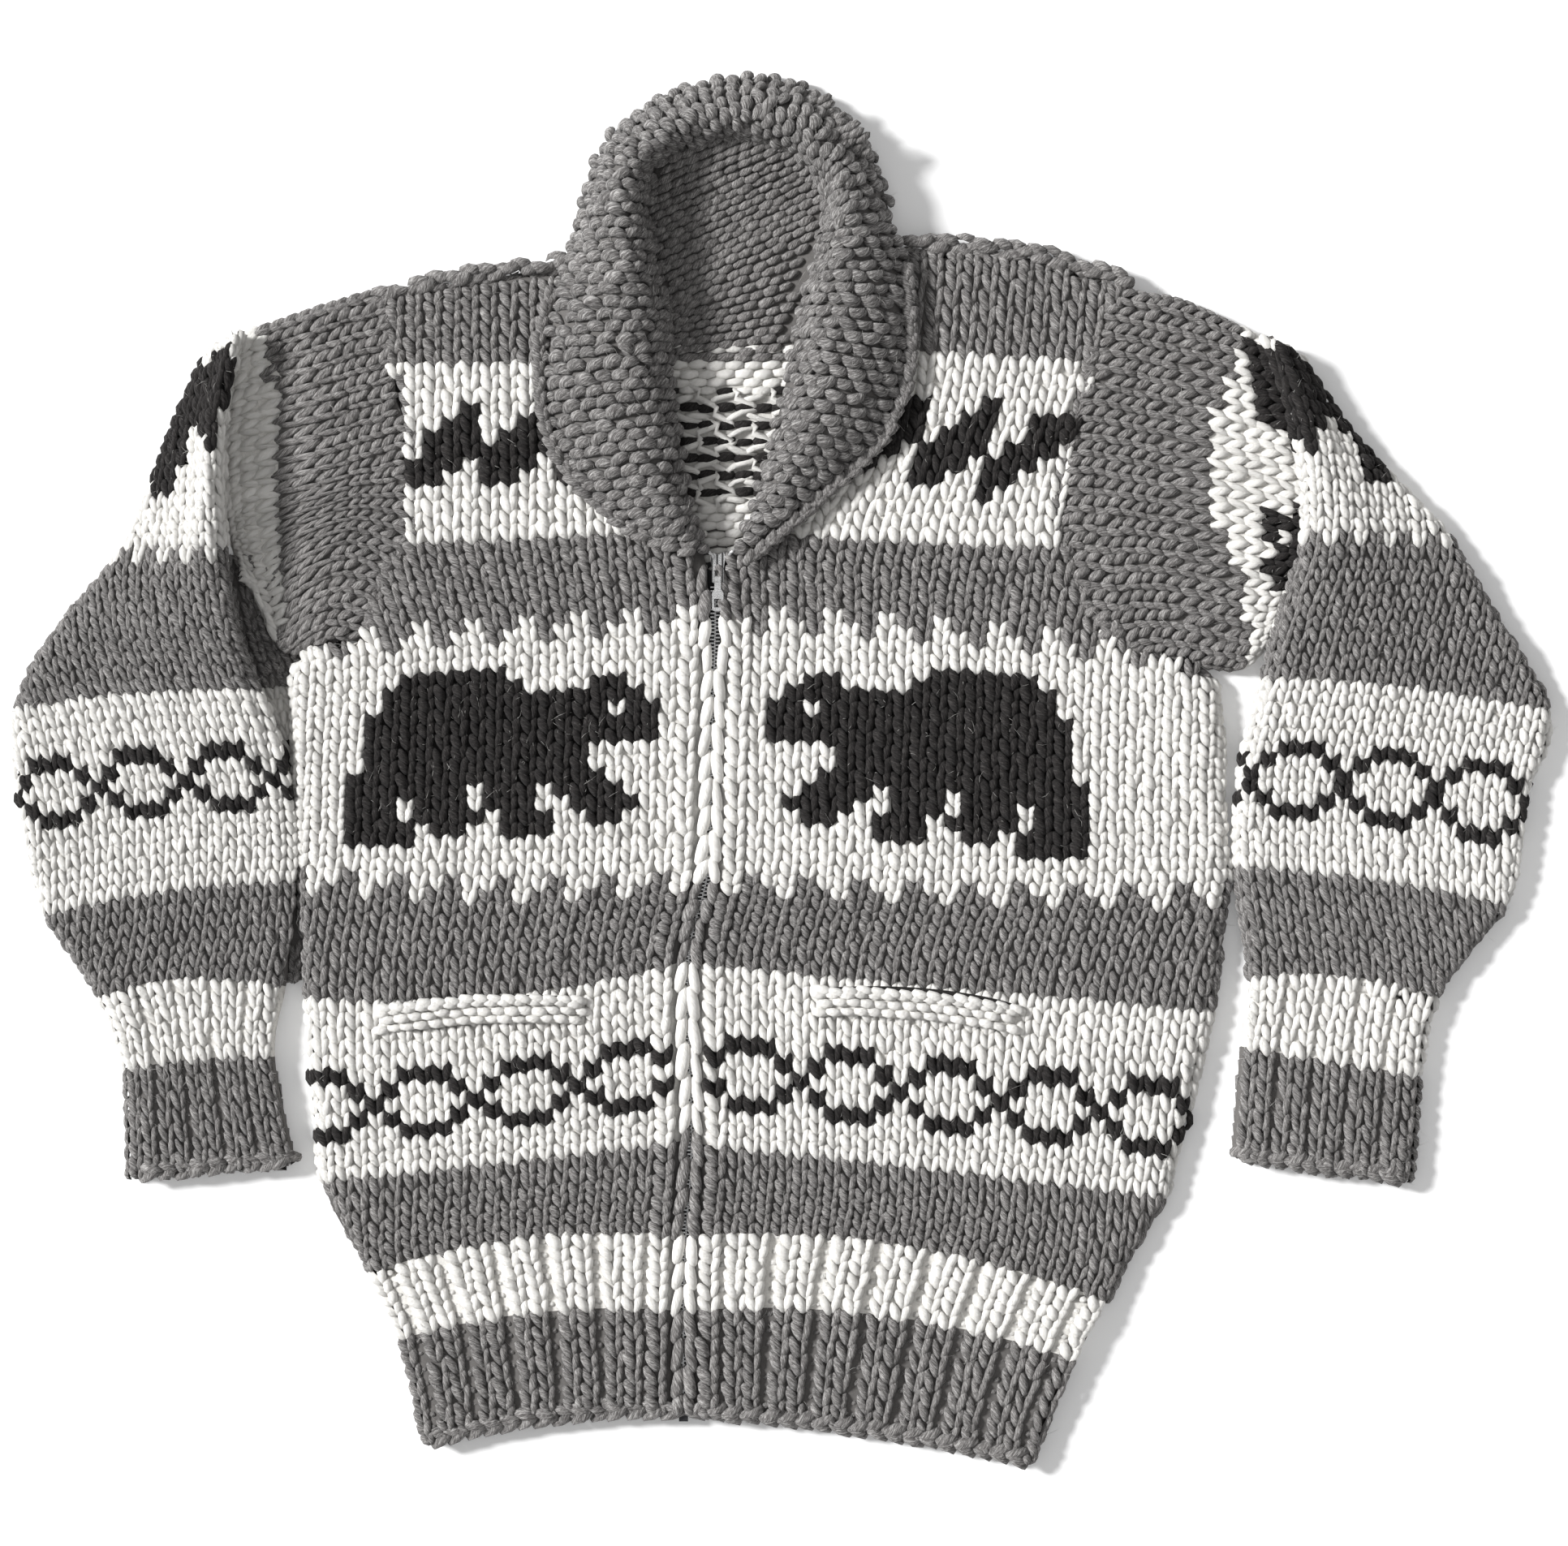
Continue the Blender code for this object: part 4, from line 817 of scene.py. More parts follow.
def lowerPaint(side):
    look = lowerLooks[side]
    (leaf, leafAt), (chain, chainAt, chainLast) = look["leaf"], look["chain"]

    def paint(k, j):
        k, j = whole(k, j)
        figure = fromChart(leaf, k + leafAt, sleeveRows - j)
        figure |= fromChart(chain, (k + chainAt) % chainWide, chainLast - j)
        jag = (k % 2) * (j > 40)
        return np.where(figure, dark, bandColour(j + jag, look["bands"]))
    return paint


def upperEdges(cloth, arch):
    def edges(k, j):
        k, j = floats(k, j)
        under = (np.interp(j, cloth.rows, cloth.tops) - bunched * wale) / (capColumns - bunched)
        first = np.minimum(k, bunched) * wale + np.clip(k - bunched, 0, capColumns - bunched) * under
        fan = arch * ease((k - 9) / 9) * np.sin(np.pi * np.clip((j - 1.5) / 11.5, 0, 1))
        return first + np.maximum(k - capColumns, 0) * wale - fan
    return edges


def upperPaint(side):
    def paint(k, j):
        reach = np.interp(np.where(k > capColumns, 2 * capColumns - k, k), *upperLooks[side]["edge"])
        patch = fromChart(cap, np.asarray(j, int), np.asarray(k, int)) & (side == "right")
        return np.where(patch, dark, np.where(j < reach, white, grey))
    return paint


def lowerFold(j, x, share):
    # the left elbow's fold stands up in a ridge along its inner edge
    return 6.0 * ease((j - 44) / 4) * np.sin(np.pi * np.clip(share / 0.45, 0, 1)) ** 2


def upperHollow(j, x, share):
    # and the cloth beside it lies low
    return -9.0 * ease((-292 - x) / 14) * ease((0.5 - np.abs(share - 0.5)) / 0.12)


# the left sleeve's lower layer shows in the shade beside the body
shade = {"columns": 7, "from": 14, "to": 47, "x": -296, "z": 4.4}
shaded = Cloth([np.linspace((x - 10, y, shade["z"]), (shade["x"], y + 4, shade["z"]), 16)
                for _, x, y in dense(np.array(lowerRows["left"], float)[2:8, :3])],
               first=float(shade["from"]), settle=0)
shadedEdges, paint = evenEdges(lowerLooks["left"]["pitch"]), lowerPaint("left")
k, j = cellsOf((shade["columns"],), (shade["from"], shade["to"] - 1))
keep = shadedEdges(k + 1, j) < shaded.length(j)
stitches = Yarn()
for leg in (flatLeg, mirrored(flatLeg)):
    stitches.lobes(shaded, shadedEdges, k[keep], j[keep], leg, paint(k[keep] * 0, j[keep]))
stitches.build("sleeveLowerLeftStitchesUnder")
baseOf("sleeveLowerLeftStitchesGround", shaded, shadedEdges, (shade["columns"],),
       (shade["from"], shade["to"]), paint, thick=2.0)

cuffs = {}
for side in ("left", "right"):
    title, look = side.title(), lowerLooks[side]
    tree = treeOf(f"sleeve_lower_{side}")
    cloth = cuffs[side] = ringCloth(tree, lowerRows[side], lowerFold if side == "left" else None)
    both, paint = lowerEdges(cloth, look["pitch"], look["first"]), lowerPaint(side)
    edges = joined(both)
    k, j = cellsOf(lowerColumns, (sleeveRows,))
    middle = middleOf(edges, k, j)
    keep = (middle < cloth.length(j + 0.5) - 1.0) & (middle > 0) & ~purlOf(k, j)
    stitches = wallStitches(cloth, both, paint, k[keep], j[keep], side == "left")
    bars, rows = cellsOf((0, 40, 4), (ribRows,))
    good = edges(bars, rows + 0.5) < cloth.length(rows + 0.5) - 2
    stitches.lobes(cloth, edges, bars[good], rows[good], bar, paint, radius=1.7)
    stitches.build(f"sleeveLower{title}Stitches")
    baseOf(f"sleeveLower{title}", cloth, edges, lowerColumns, (sleeveRows + 1,), paint,
           node=[f"sleeve_lower_{side}"], floor=0.6)
    print("lower sleeve", side, keep.sum())

    tree = treeOf(f"sleeve_upper_{side}")
    cloth = ringCloth(tree, upperRows[side], upperHollow if side == "left" else None)
    edges, paint, lastRow = upperEdges(cloth, upperLooks[side]["arch"]), upperPaint(side), cloth.rows[-1]
    k, j = cellsOf(upperColumns, (0, lastRow))
    middle = middleOf(edges, k, j)
    keep = middle < cloth.length(j + 0.5) - 1.0
    keep &= onFrame(tree, drawnIn(cloth.at(j + 0.5, middle)[0]))
    stitches = wallStitches(cloth, (edges, edges), paint, k[keep], j[keep], side == "right")
    stitches.build(f"sleeveUpper{title}Stitches")
    cloth.endOn(tree, edges, (upperColumns[1] + 1,), lastRow, 4, drawnIn)
    baseOf(f"sleeveUpper{title}", cloth, edges, upperColumns, (0, lastRow + 0.1, 1.0), paint,
           node=[f"sleeve_upper_{side}"], floor=0.6)
    print("upper sleeve", side, keep.sum())


# collar

# neck edge x and y, free edge x and y; from the left tip over the back to the right tip
collarRays = [
    (-46.5, 134.5, -53, 134), (-51, 146.5, -87, 143), (-56.5, 166.5, -114, 163), (-61.5, 199, -137, 189),
    (-66.5, 239, -149.5, 229), (-70, 279, -148, 277), (-77, 308, -134, 309), (-79, 325, -130, 325),
    (-82, 354, -123.5, 354), (-76, 371.5, -113, 383), (-63, 379, -89.5, 406.5), (-42, 383, -59.5, 422),
    (-21.5, 383, -21.5, 428.5), (-1, 379, 10.5, 424), (18, 366.5, 40.5, 402.5), (25.5, 349, 59, 374),
    (21, 326, 70.5, 333), (19, 312, 75.5, 314), (10.5, 284, 79, 279), (3, 249, 77.5, 239),
    (-5.5, 211, 60.5, 200), (-13.5, 181, 30.5, 173), (-21.5, 153.5, 0.5, 146.5), (-28, 133.5, -24, 126)]
collarNodes = ["collar_left", "collar_right", "collar_back"]
# rows and columns of garter stitch, height of the neck edge, how far the free edge turns down
collarLook = {"pitch": 7.4, "wale": 11.4, "foot": 8, "turned": 7, "columns": 13}
collarTree = treeOf(*collarNodes)


def collarCloth():
    rays = np.array(collarRays, float)
    at = stepsOf(rays[:, :2] * 0.45 + rays[:, 2:] * 0.55) / collarLook["pitch"]
    share = spread(36)
    lines = []
    for _, neckX, neckY, freeX, freeY in dense(np.concatenate([at[:, None], rays], 1), 0.5):
        x, y = neckX + (freeX - neckX) * share, neckY + (freeY - neckY) * share
        z, _ = drape(collarTree, x, y)
        low = z.min() * 0.3
        z[0], z[-1] = min(z[0], z[1] * 0.5 + collarLook["foot"]), max(z[-1] - collarLook["turned"], low)
        lines.append(np.stack([x, y, z], 1))
    return Cloth(lines, step=0.5, settle=1)


collar = collarCloth()
lastRow = collar.rows[-1]
edges = brickEdges(collarLook["wale"], 0.25)
k, j = cellsOf((collarLook["columns"],), (int(lastRow),))
keep = middleOf(edges, k, j) < collar.length(j + 0.5) - 2.0
stitches = Yarn()
stitches.lobes(collar, edges, k[keep], j[keep], garter, grey, radius=3.75, tall=0.85, around=7, wobble=0.6,
               tilt=0.28)
# the collar's stitches take the darker grey, which is painted shade
for piece in stitches.build("collarStitches"):
    piece.data.materials[0] = shadedCollarWool
baseOf("collarRoll", collar, evenEdges(11.0), (12,), (int(lastRow) + 1,), plainPaint(grey), node=collarNodes)
print("collar", keep.sum())

# inside of the stand
standLook = {"low": 254, "pitch": 5.0, "wale": 9.0, "rows": 28, "columns": 18}
standRows = []
for number in range(standLook["rows"]):
    y = standLook["low"] + number * standLook["pitch"]
    x = np.linspace(-98 + 20 * ease((y - 360) / 25), 36 - 45 * ease((y - 340) / 45), 60)
    line = y + (0.1 + 0.3 * ease(number / 12)) * (x + 40)
    z = 7.5 + 15 * ease((line - 350) / 40) + 5 * ease((x - 5) / 25) + 0.02 * number
    standRows.append(np.stack([x, line, z], 1))
stand, edges = Cloth(standRows, settle=1), brickEdges(standLook["wale"])
k, j = cellsOf((standLook["columns"],), (standLook["rows"] - 1,))
keep = onFrame(collarTree, stand.at(j + 0.5, middleOf(edges, k, j))[0], 1.0)
stitches = Yarn()
stitches.lobes(stand, edges, k[keep], j[keep], small, grey, radius=2.7, tall=0.95, wobble=0.3)
stitches.build("collarStandStitches")
baseOf("collarStand", stand, evenEdges(standLook["wale"]), (16,), (standLook["rows"],), plainPaint(grey),
       thick=2.0)

# back neck below the stand
neckLook = {"low": 122, "pitch": 5.2, "rows": 27, "columns": 11, "left": -92, "right": 30, "height": 6.0}
neckRow = np.array([(x, 0, neckLook["height"]) for x in np.linspace(neckLook["left"], neckLook["right"], 40)])
neck = Cloth([neckRow + [0, neckLook["low"] + number * neckLook["pitch"], 0]
              for number in range(neckLook["rows"])], settle=0)


def neckPaint(k, j):
    # plain rows, then dark rows under long white strands, then plain rows up to the grey stand
    k, j = whole(k, j)
    colour = np.where((j % 2 == 1) & (j > 7) & (j < 21), dark, white)
    colour = np.where((j == 21) & (k % 3 == 1), dark, colour)
    return np.where(j == 25, grey, colour)


edges = brickEdges(collarLook["wale"])
k, j = cellsOf((neckLook["columns"],), (neckLook["rows"],))
over = treeOf("front_left", "front_right", *collarNodes)
keep = ~onFrame(over, neck.at(j + 0.5, middleOf(edges, k, j))[0], 7.0)
k, j = k[keep], j[keep]
colours = neckPaint(k, j)
strand = (j > 7) & (j < 21) & (colours == white)
bump = {"radius": 3.0, "tall": 0.9, "wobble": 0.3, "lift": 0.4}
stitches = Yarn()
for pick in (~strand & (colours != dark), ~strand & (colours == dark)):
    stitches.lobes(neck, edges, k[pick], j[pick], small, neckPaint, **bump)
for slant in (-1.0, 0.8):
    pick = strand & ((k + j // 2 + (j // 6)) % 2 == (slant > 0))
    long = [(-0.78, 0.5 - 1.0 * slant, -3.4, 0), (-0.62, 0.5 - 0.85 * slant, -1.4, 0.7),
            (-0.36, 0.5 - 0.5 * slant, 0.2, 0.95), (0.0, 0.5, 1.0, 1.0), (0.38, 0.5 + 0.5 * slant, 0.2, 0.95),
            (0.64, 0.5 + 0.85 * slant, -1.4, 0.7), (0.8, 0.5 + 1.0 * slant, -3.4, 0)]
    stitches.lobes(neck, edges, k[pick], j[pick], long, white, radius=1.95, tall=0.95, wobble=0.4, lift=1.0,
                   tilt=0.5)
stitches.build("backNeckStitches")


# cords: shoulder plaits, armhole seams, hem and cuff edges

def strip(path, radius, spacing, reach, ups=None):
    # a rounded surface along a line of points; its rows are spacing apart
    along = stepsOf(path)
    at = np.linspace(0, along[-1], max(3, int(round(along[-1] / spacing)) * 2 + 1))
    line = resampled(at, along, path)
    up = np.tile([0.0, 0.0, 1.0], (len(at), 1)) if ups is None else resampled(at, along, ups)
    side = unit(np.cross(up, unit(np.gradient(line, axis=0))))
    turn = np.radians(np.linspace(-reach, reach, 15))
    lines = [centre + np.outer(np.sin(turn), across) * radius + np.outer(np.cos(turn), high) * radius
             for centre, across, high in zip(line, side, up)]
    return Cloth(lines, step=0.5, up=0, gap=1.5, settle=0)


def chain(name, path, radius, spacing, thick, reach=105, ups=None):
    # one column of plaited stitches along a line
    cloth = strip(path, radius, spacing, reach, ups)
    j = np.arange(int(cloth.rows[-1]))
    yarn = Yarn()
    for leg in (plait, mirrored(plait)):
        yarn.lobes(cloth, evenEdges(cloth.lengths.mean()), j * 0, j, leg, grey, radius=thick, wobble=0.3)
    yarn.build(name)


def rope(name, path, radius, spacing=10.5, thick=3.7, angles=(-75, -22, 35)):
    # rows of long lobes that lie along a ridge, each row half a stitch on from the last
    cloth = strip(path, radius, spacing, 150)
    edges = evenEdges(cloth.lengths.mean())
    yarn = Yarn()
    for number, angle in enumerate(angles):
        at, lean = angle / 300, 0.05 if number % 2 else -0.05
        lobe = [(at - lean, -0.28, -2.8, 0), (at - lean, 0.0, -0.8, 0.8), (at, 0.4, 0.0, 1.04),
                (at + lean, 0.85, -0.6, 0.9), (at + lean, 1.2, -2.8, 0)]
        j = np.arange(0, cloth.rows[-1] - 0.4) + 0.5 * (number % 2)
        yarn.lobes(cloth, edges, j * 0, j, lobe, grey, radius=thick, around=7, wobble=0.5)
    return yarn.build(name)


def onSurface(cloth, j, s, drop):
    points, normals = cloth.at(np.full(len(s), float(j)), s)
    return points - normals * drop, normals


shoulderPaths = {"left": [(-250, 292.5), (-190, 305), (-134, 312.3)],
                 "right": [(76, 323.5), (142, 320.5), (212, 302)]}
armholePaths = {"left": [(-246, 291), (-240.5, 251), (-233, 240), (-228.5, 209), (-228, 168), (-228, 145),
                         (-244, 125), (-250, 107), (-254, 94), (-255, 80)],
                "right": [(210, 300), (191, 272), (187, 240), (173, 196), (168.5, 154), (183, 105), (217, 75),
                          (262, 58)]}
hemChain = {"radius": 5.6, "spacing": 11.0, "thick": 3.7, "reach": 125}
cuffChain = {"radius": 5.2, "spacing": 10.5, "thick": 3.5, "reach": 125}
for side in ("left", "right"):
    title = side.title()
    ends, at = np.array(shoulderPaths[side], float), np.linspace(0, 1, 30)
    line = np.stack([parabola(*ends[:, 0], at), parabola(*ends[:, 1], at), np.full(30, 7.6)], 1)
    ridge = rope(f"shoulderSeam{title}", line, 4.6)
    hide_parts(f"shoulder_seam_{side}")

    way = np.array(armholePaths[side], float)
    part = np.linspace(0, len(way) - 1, 60)
    x, y = (rounded(np.interp(part, np.arange(len(way)), way[:, axis]), 4) for axis in (0, 1))
    z, _ = drape(treeOf(f"front_{side}", f"sleeve_upper_{side}"), x, y)
    line = np.stack([x, y, rounded(z, 3) - 4.2], 1)
    chain(f"armhole{title}", line[::-1], radius=4.0, spacing=8.6, thick=2.5)

    cloth = tops[side]
    path, ups = onSurface(cloth, 0.35, np.linspace(1, cloth.length(0) - 1, 60), 4.2)
    chain(f"hem{title}", path, ups=ups, **hemChain)
    cloth = cuffs[side]
    path, ups = onSurface(cloth, 0.5, np.linspace(2, cloth.length(0.5) - 1, 90), 4.4)
    path[:, 2] = np.maximum(path[:, 2], 5.8)
    path[:, 0] = np.clip(path[:, 0], path[:, 0].min() + 3.5, path[:, 0].max() - 2.5)
    chain(f"cuff{title}", path, ups=ups, **cuffChain)

# the lapels' edges, from their tips up to the shoulders
free = np.array([collar.at(row, collar.length(row) - 2.5)[0] for row in np.arange(0.5, lastRow, 0.5)])
for side, edge in (("Left", free[:50]), ("Right", free[:-56:-1])):
    edge = rounded(edge.copy(), 6)
    edge[:, 2] = np.maximum(edge[:, 2] + 4.0, 20.5)
    chain(f"collarEdge{side}", edge, radius=3.6, spacing=9.0, thick=3.1)
print("cords done")


# plaited edges beside the zip

showTeeth = [(59.5, 71.0, 1.0), (38.6, 42.4, 0.45), (13.6, 15.4, 0.4)]  # from row, to row, how far open


def zipEdges(plain):
    def leaning(k, j):
        # the edge cord leans over the zip, except where its teeth show
        clear = sum(wide * ease((j - low + 1.5) / 1.5) * ease((high + 1.5 - j) / 1.5)
                    for low, high, wide in showTeeth)
        return plain(k, j) - 4.6 + 2.9 * clear

    def plaited(k, j):
        return plain(np.full_like(k, -1) + 0.0 * j, j) - 3.5 + (k + 1) * 14.0
    return leaning, plaited


for side in ("left", "right"):
    cloth, paint = tops[side], frontPaint(side)
    leaning, plaited = zipEdges(frontEdges(side)[1])
    yarn = Yarn()
    k, j = cellsOf((-2, -1), (0, 65, 2))
    late = 2 * ((j > 50) & (side == "right"))  # grey runs further down beside the slider
    yarn.lobes(cloth, leaning, k, j, edgeCord, paint(k, j + late), radius=3.5, around=6)
    k, j = cellsOf((-1, 0), (67,))
    for leg in (rightLeg, leftLeg):
        leg = mirrored(leg, side == "left")
        yarn.lobes(cloth, plaited, k, j, leg, paint, radius=3.0, lift=0.4, around=6)
    yarn.build(f"zipEdge{side.title()}")


# pocket welts, with a dark sheet above each as painted shadow in the pocket's mouth

weltEnds = {"left": (-250, -147, -121, -141), "right": (20, -135.5, 148, -147)}
weltLook = {"bow": 3.5, "tall": 17, "wale": 8.6, "columns": 15, "mouth": {"left": 1.4, "right": 4.4}}


def weltLine(side, share):
    startX, startY, endX, endY = weltEnds[side]
    y = startY + (endY - startY) * share + 4 * weltLook["bow"] * share * (1 - share)
    return startX + (endX - startX) * share, y


share = np.linspace(0.004, 0.996, 40)
for side in ("left", "right"):
    title = side.title()
    x, top = weltLine(side, share)
    tree = treeOf(f"pocket_welt_{side}")
    lines = []
    for down in np.linspace(0.03, 0.97, 5):
        y = top - weltLook["tall"] * down
        lines.append(np.stack([x, y, drape(tree, x, y)[0]], 1))
    welt = Cloth(lines, step=0.75)
    bricks, even = brickEdges(weltLook["wale"], 0.25), evenEdges(weltLook["wale"])
    k, j = cellsOf((weltLook["columns"],), (3,))
    keep = bricks(k + 0.5, j) < welt.length(j) - 2
    yarn = Yarn()
    yarn.lobes(welt, bricks, k[keep], j[keep], small, white, radius=2.9, wobble=0.3, lift=0.2)
    k = np.arange(weltLook["columns"])
    yarn.lobes(welt, even, k, k * 0, lip, white, radius=2.7, wobble=0.2)
    yarn.build(f"pocketWelt{title}Stitches")
    baseOf(f"pocketWelt{title}", welt, even, (len(k) + 1,), (4,), plainPaint(white), top=-1.4, thick=2.0,
           node=[f"pocket_welt_{side}"])
    # a thin dark sheet along the welt's top: painted shadow of the pocket's mouth
    z = drape(treeOf(f"front_{side}"), x, top + 2)[0] + 3.3
    tall = weltLook["mouth"][side] * np.sin(np.pi * share) ** 0.5 * (0.5 + 0.5 * share)
    low, high = np.stack([x, top - 2.0, z], 1), np.stack([x, top + tall, z], 1)
    dress(solid(f"pocketMouth{title}", np.concatenate([low, high]), quadsOf(2, 40)), shadedGrounds[dark])
print("welts done")


# back

backTree = treeOf("back")
lines, reaches = [], []
for left, right in zip(dense(frontRows["left"]), dense(frontRows["right"])):
    x = left[1] + (right[1] - left[1]) * spread(80)
    halves = [parabola(front[5], front[3], front[2], np.maximum(0, (x - front[4]) / (front[1] - front[4])))
              for front in (left, right)]
    y = np.where(x < left[4], *halves)
    z, good = drape(backTree, x, y, -1)
    z[[0, -1]] = 6.8  # the sides turn up to the fronts
    lines.append(np.stack([x, y, np.maximum(z, 0)], 1))
    reaches.append(reachOf(lines[-1], good if left[0] > 61 else good | True))
back = Cloth(lines, up=-1)
back.starts, back.stops = np.array(reaches).T


backColumns = 48


def backRibs(k, j):
    return back.length(j) * k / backColumns + 0.0 * j


def backPlain(k, j):
    return back.length(j) / 2 + (k - backColumns / 2) * wale


def backPaint(k, j):
    k, j = whole(k, j)
    return np.where(fromChart(diamonds, k % chainWide, chainLast - j), dark, bandColour(j, frontBands))


both = (backRibs, backPlain)
edges = joined(both)
k, j = cellsOf((-6, 56), (bodyRows,))
middle = middleOf(edges, k, j)
keep = (middle > 1) & (middle < back.length(j + 0.5) - 1) & ~purlOf(k, j)
keep &= onFrame(backTree, back.at(j + 0.5, middle)[0])
k, j = k[keep], j[keep]
yarn = Yarn()
for leg in (flatLeg, mirrored(flatLeg)):
    knit(yarn, back, both, k, j, leg, backPaint, around=3, lift=-1.5)
yarn.build("backStitches")
back.endOn(backTree, edges, (-6, 57), bodyRows, 80)
baseOf("backBase", back, edges, (-6, 57), (bodyRows + 1,), backPaint, node=["back"], top=-1.5, thick=3.6,
       floor=1.2)
print("back done", len(k))


# zip

def metalMaterial(name, colour, rough, lines=0.0):
    made, tree, shader = newMaterial(name, {"Metallic": 0.8})
    where = put(tree, "TexCoord").outputs["Object"]
    noise = noiseOf(tree, where, 2600.0, 3.0)
    # dark lines across the metal: painted shade of grooves that the mesh doesn't have, as strong as lines
    # asks; the noise adds a random tone
    pressed = put(tree, "TexWave", {"Vector": where, "Scale": 95.0, "Distortion": 0.6, "Detail Scale": 60.0,
                                    "Phase Offset": 0.9}, bands_direction="X").outputs[0]
    grooveShade = ranged(tree, pressed, 0.05, 0.5, 1.0 - lines)
    toneAndGrooveShade = maths(tree, "MULTIPLY", ranged(tree, noise, 0.38, 0.55, 0.45), grooveShade)
    low = (*[part * 0.06 for part in colour], 1)
    tree.links.new(ranged(tree, noise, 0.0, 1.0, rough - 0.1, rough + 0.15), shader["Roughness"])
    tree.links.new(blended(tree, toneAndGrooveShade, low, (*colour, 1)), shader["Base Color"])
    return made


def tapeMaterial():
    made, tree, shader = newMaterial("zipTape", {"Roughness": 0.85})
    where = put(tree, "TexCoord").outputs["Object"]
    wave = put(tree, "TexWave", {"Vector": where, "Scale": 900.0, "Distortion": 1.0},
               bands_direction="DIAGONAL").outputs[0]
    tone = blended(tree, wave, (0.018, 0.018, 0.02, 1), (0.05, 0.05, 0.052, 1))
    tree.links.new(tone, shader["Base Color"])
    return made


brightMetal = metalMaterial("zipMetal", (0.92, 0.92, 0.92), 0.28)
# the slider takes the painted groove shade in full
sliderMetal = metalMaterial("zipSliderMetal", (0.92, 0.92, 0.92), 0.22, 1.0)
boxMetal = metalMaterial("zipBox", (0.06, 0.06, 0.065), 0.4)
tape = tapeMaterial()


def zipMiddle(y):
    left, right = dense(frontRows["left"]), dense(frontRows["right"])
    return (np.interp(y, left[:, 5], left[:, 4]) + np.interp(y, right[:, 5], right[:, 4])) / 2


tooth = {"pitch": 1.15, "aside": 1.25, "height": 9.6, "half": (1.7, 0.42, 1.5), "from": -396, "to": 112.6}
y = np.arange(tooth["from"], tooth["to"], tooth["pitch"])
away = np.where(np.arange(len(y)) % 2 == 0, -1, 1)
corners = np.array([[x, y, z] for z in (-1, 1) for y in (-1, 1) for x in (-1, 1)], float)
centres = np.stack([zipMiddle(y) + away * tooth["aside"], y, np.full(len(y), tooth["height"])], 1)
boxFaces = np.array([[0, 2, 3, 1], [4, 5, 7, 6], [0, 1, 5, 4], [2, 6, 7, 3], [0, 4, 6, 2], [1, 3, 7, 5]])
faces = (np.arange(len(y))[:, None, None] * 8 + boxFaces).reshape(-1, 4)
zipTeeth = solid("zipTeeth", (centres[:, None] + corners * tooth["half"]).reshape(-1, 3), faces)
zipTeeth.data.set_sharp_from_angle(angle=math.radians(40))

# the tapes end in small bent metal stops beside the slider
for number, (x, y, lean) in enumerate(((-44.6, 133.0, -1), (-30.8, 134.0, 1))):
    bend = np.array([[x - 2.4 * lean, y - 3.4, 14.6], [x - 1.2 * lean, y - 0.6, 16.4], [x, y, 17.2],
                     [x + 1.6 * lean, y + 1.8, 16.2]])
    wire = strip(bend, 1.15, 1.2, 178)
    rows, used = len(wire.points), int(wire.lengths.mean() / wire.gap) + 1
    tube = wire.points[:, :used]
    r, c = (part.ravel() for part in np.meshgrid(np.arange(rows - 1), np.arange(used), indexing="ij"))
    here, beside = r * used + c, r * used + (c + 1) % used
    quads = np.stack([here, beside, beside + used, here + used], 1)
    c, last = np.arange(used), (rows - 1) * used
    caps = np.concatenate([np.stack([c * 0 + rows * used, (c + 1) % used, c], 1),
                           np.stack([c * 0 + rows * used + 1, last + c, last + (c + 1) % used], 1)])
    points = np.concatenate([tube.reshape(-1, 3), [tube[0].mean(0), tube[-1].mean(0)]])
    dress(solid(f"zipStop{number}", points, quads, caps), brightMetal)
dress(zipTeeth, brightMetal)
zipLooks = {"zip_tape_left": (tape, "zip_tape"), "zip_tape_right": (tape, "zip_tape"),
            "zip_box": (boxMetal, "zip_box"), "zip_slider": (sliderMetal, "zip_metal"),
            "zip_pull": (brightMetal, "zip_metal")}
for name, (look, slotName) in zipLooks.items():
    piece = frame["nodes"][name]
    piece.data.materials.clear()
    piece.data.materials.append(look)


# loose fibres that stand off the yarn

fuzzLook = {"each": 0.055, "most": 2600, "long": 6.0, "thick": 0.13, "stand": 0.35, "low": 0.2, "high": 49.5}
spikeUv = [[along, around] for along in (0.1, 0.5) for around in (0.2, 0.5, 0.8)] + [[0.9, 0.5]]
spikeQuads = np.array([[0, 1, 4, 3], [1, 2, 5, 4], [2, 0, 3, 5]])
spikeTriangles = np.array([[0, 2, 1], [3, 4, 6], [4, 5, 6], [5, 3, 6]])


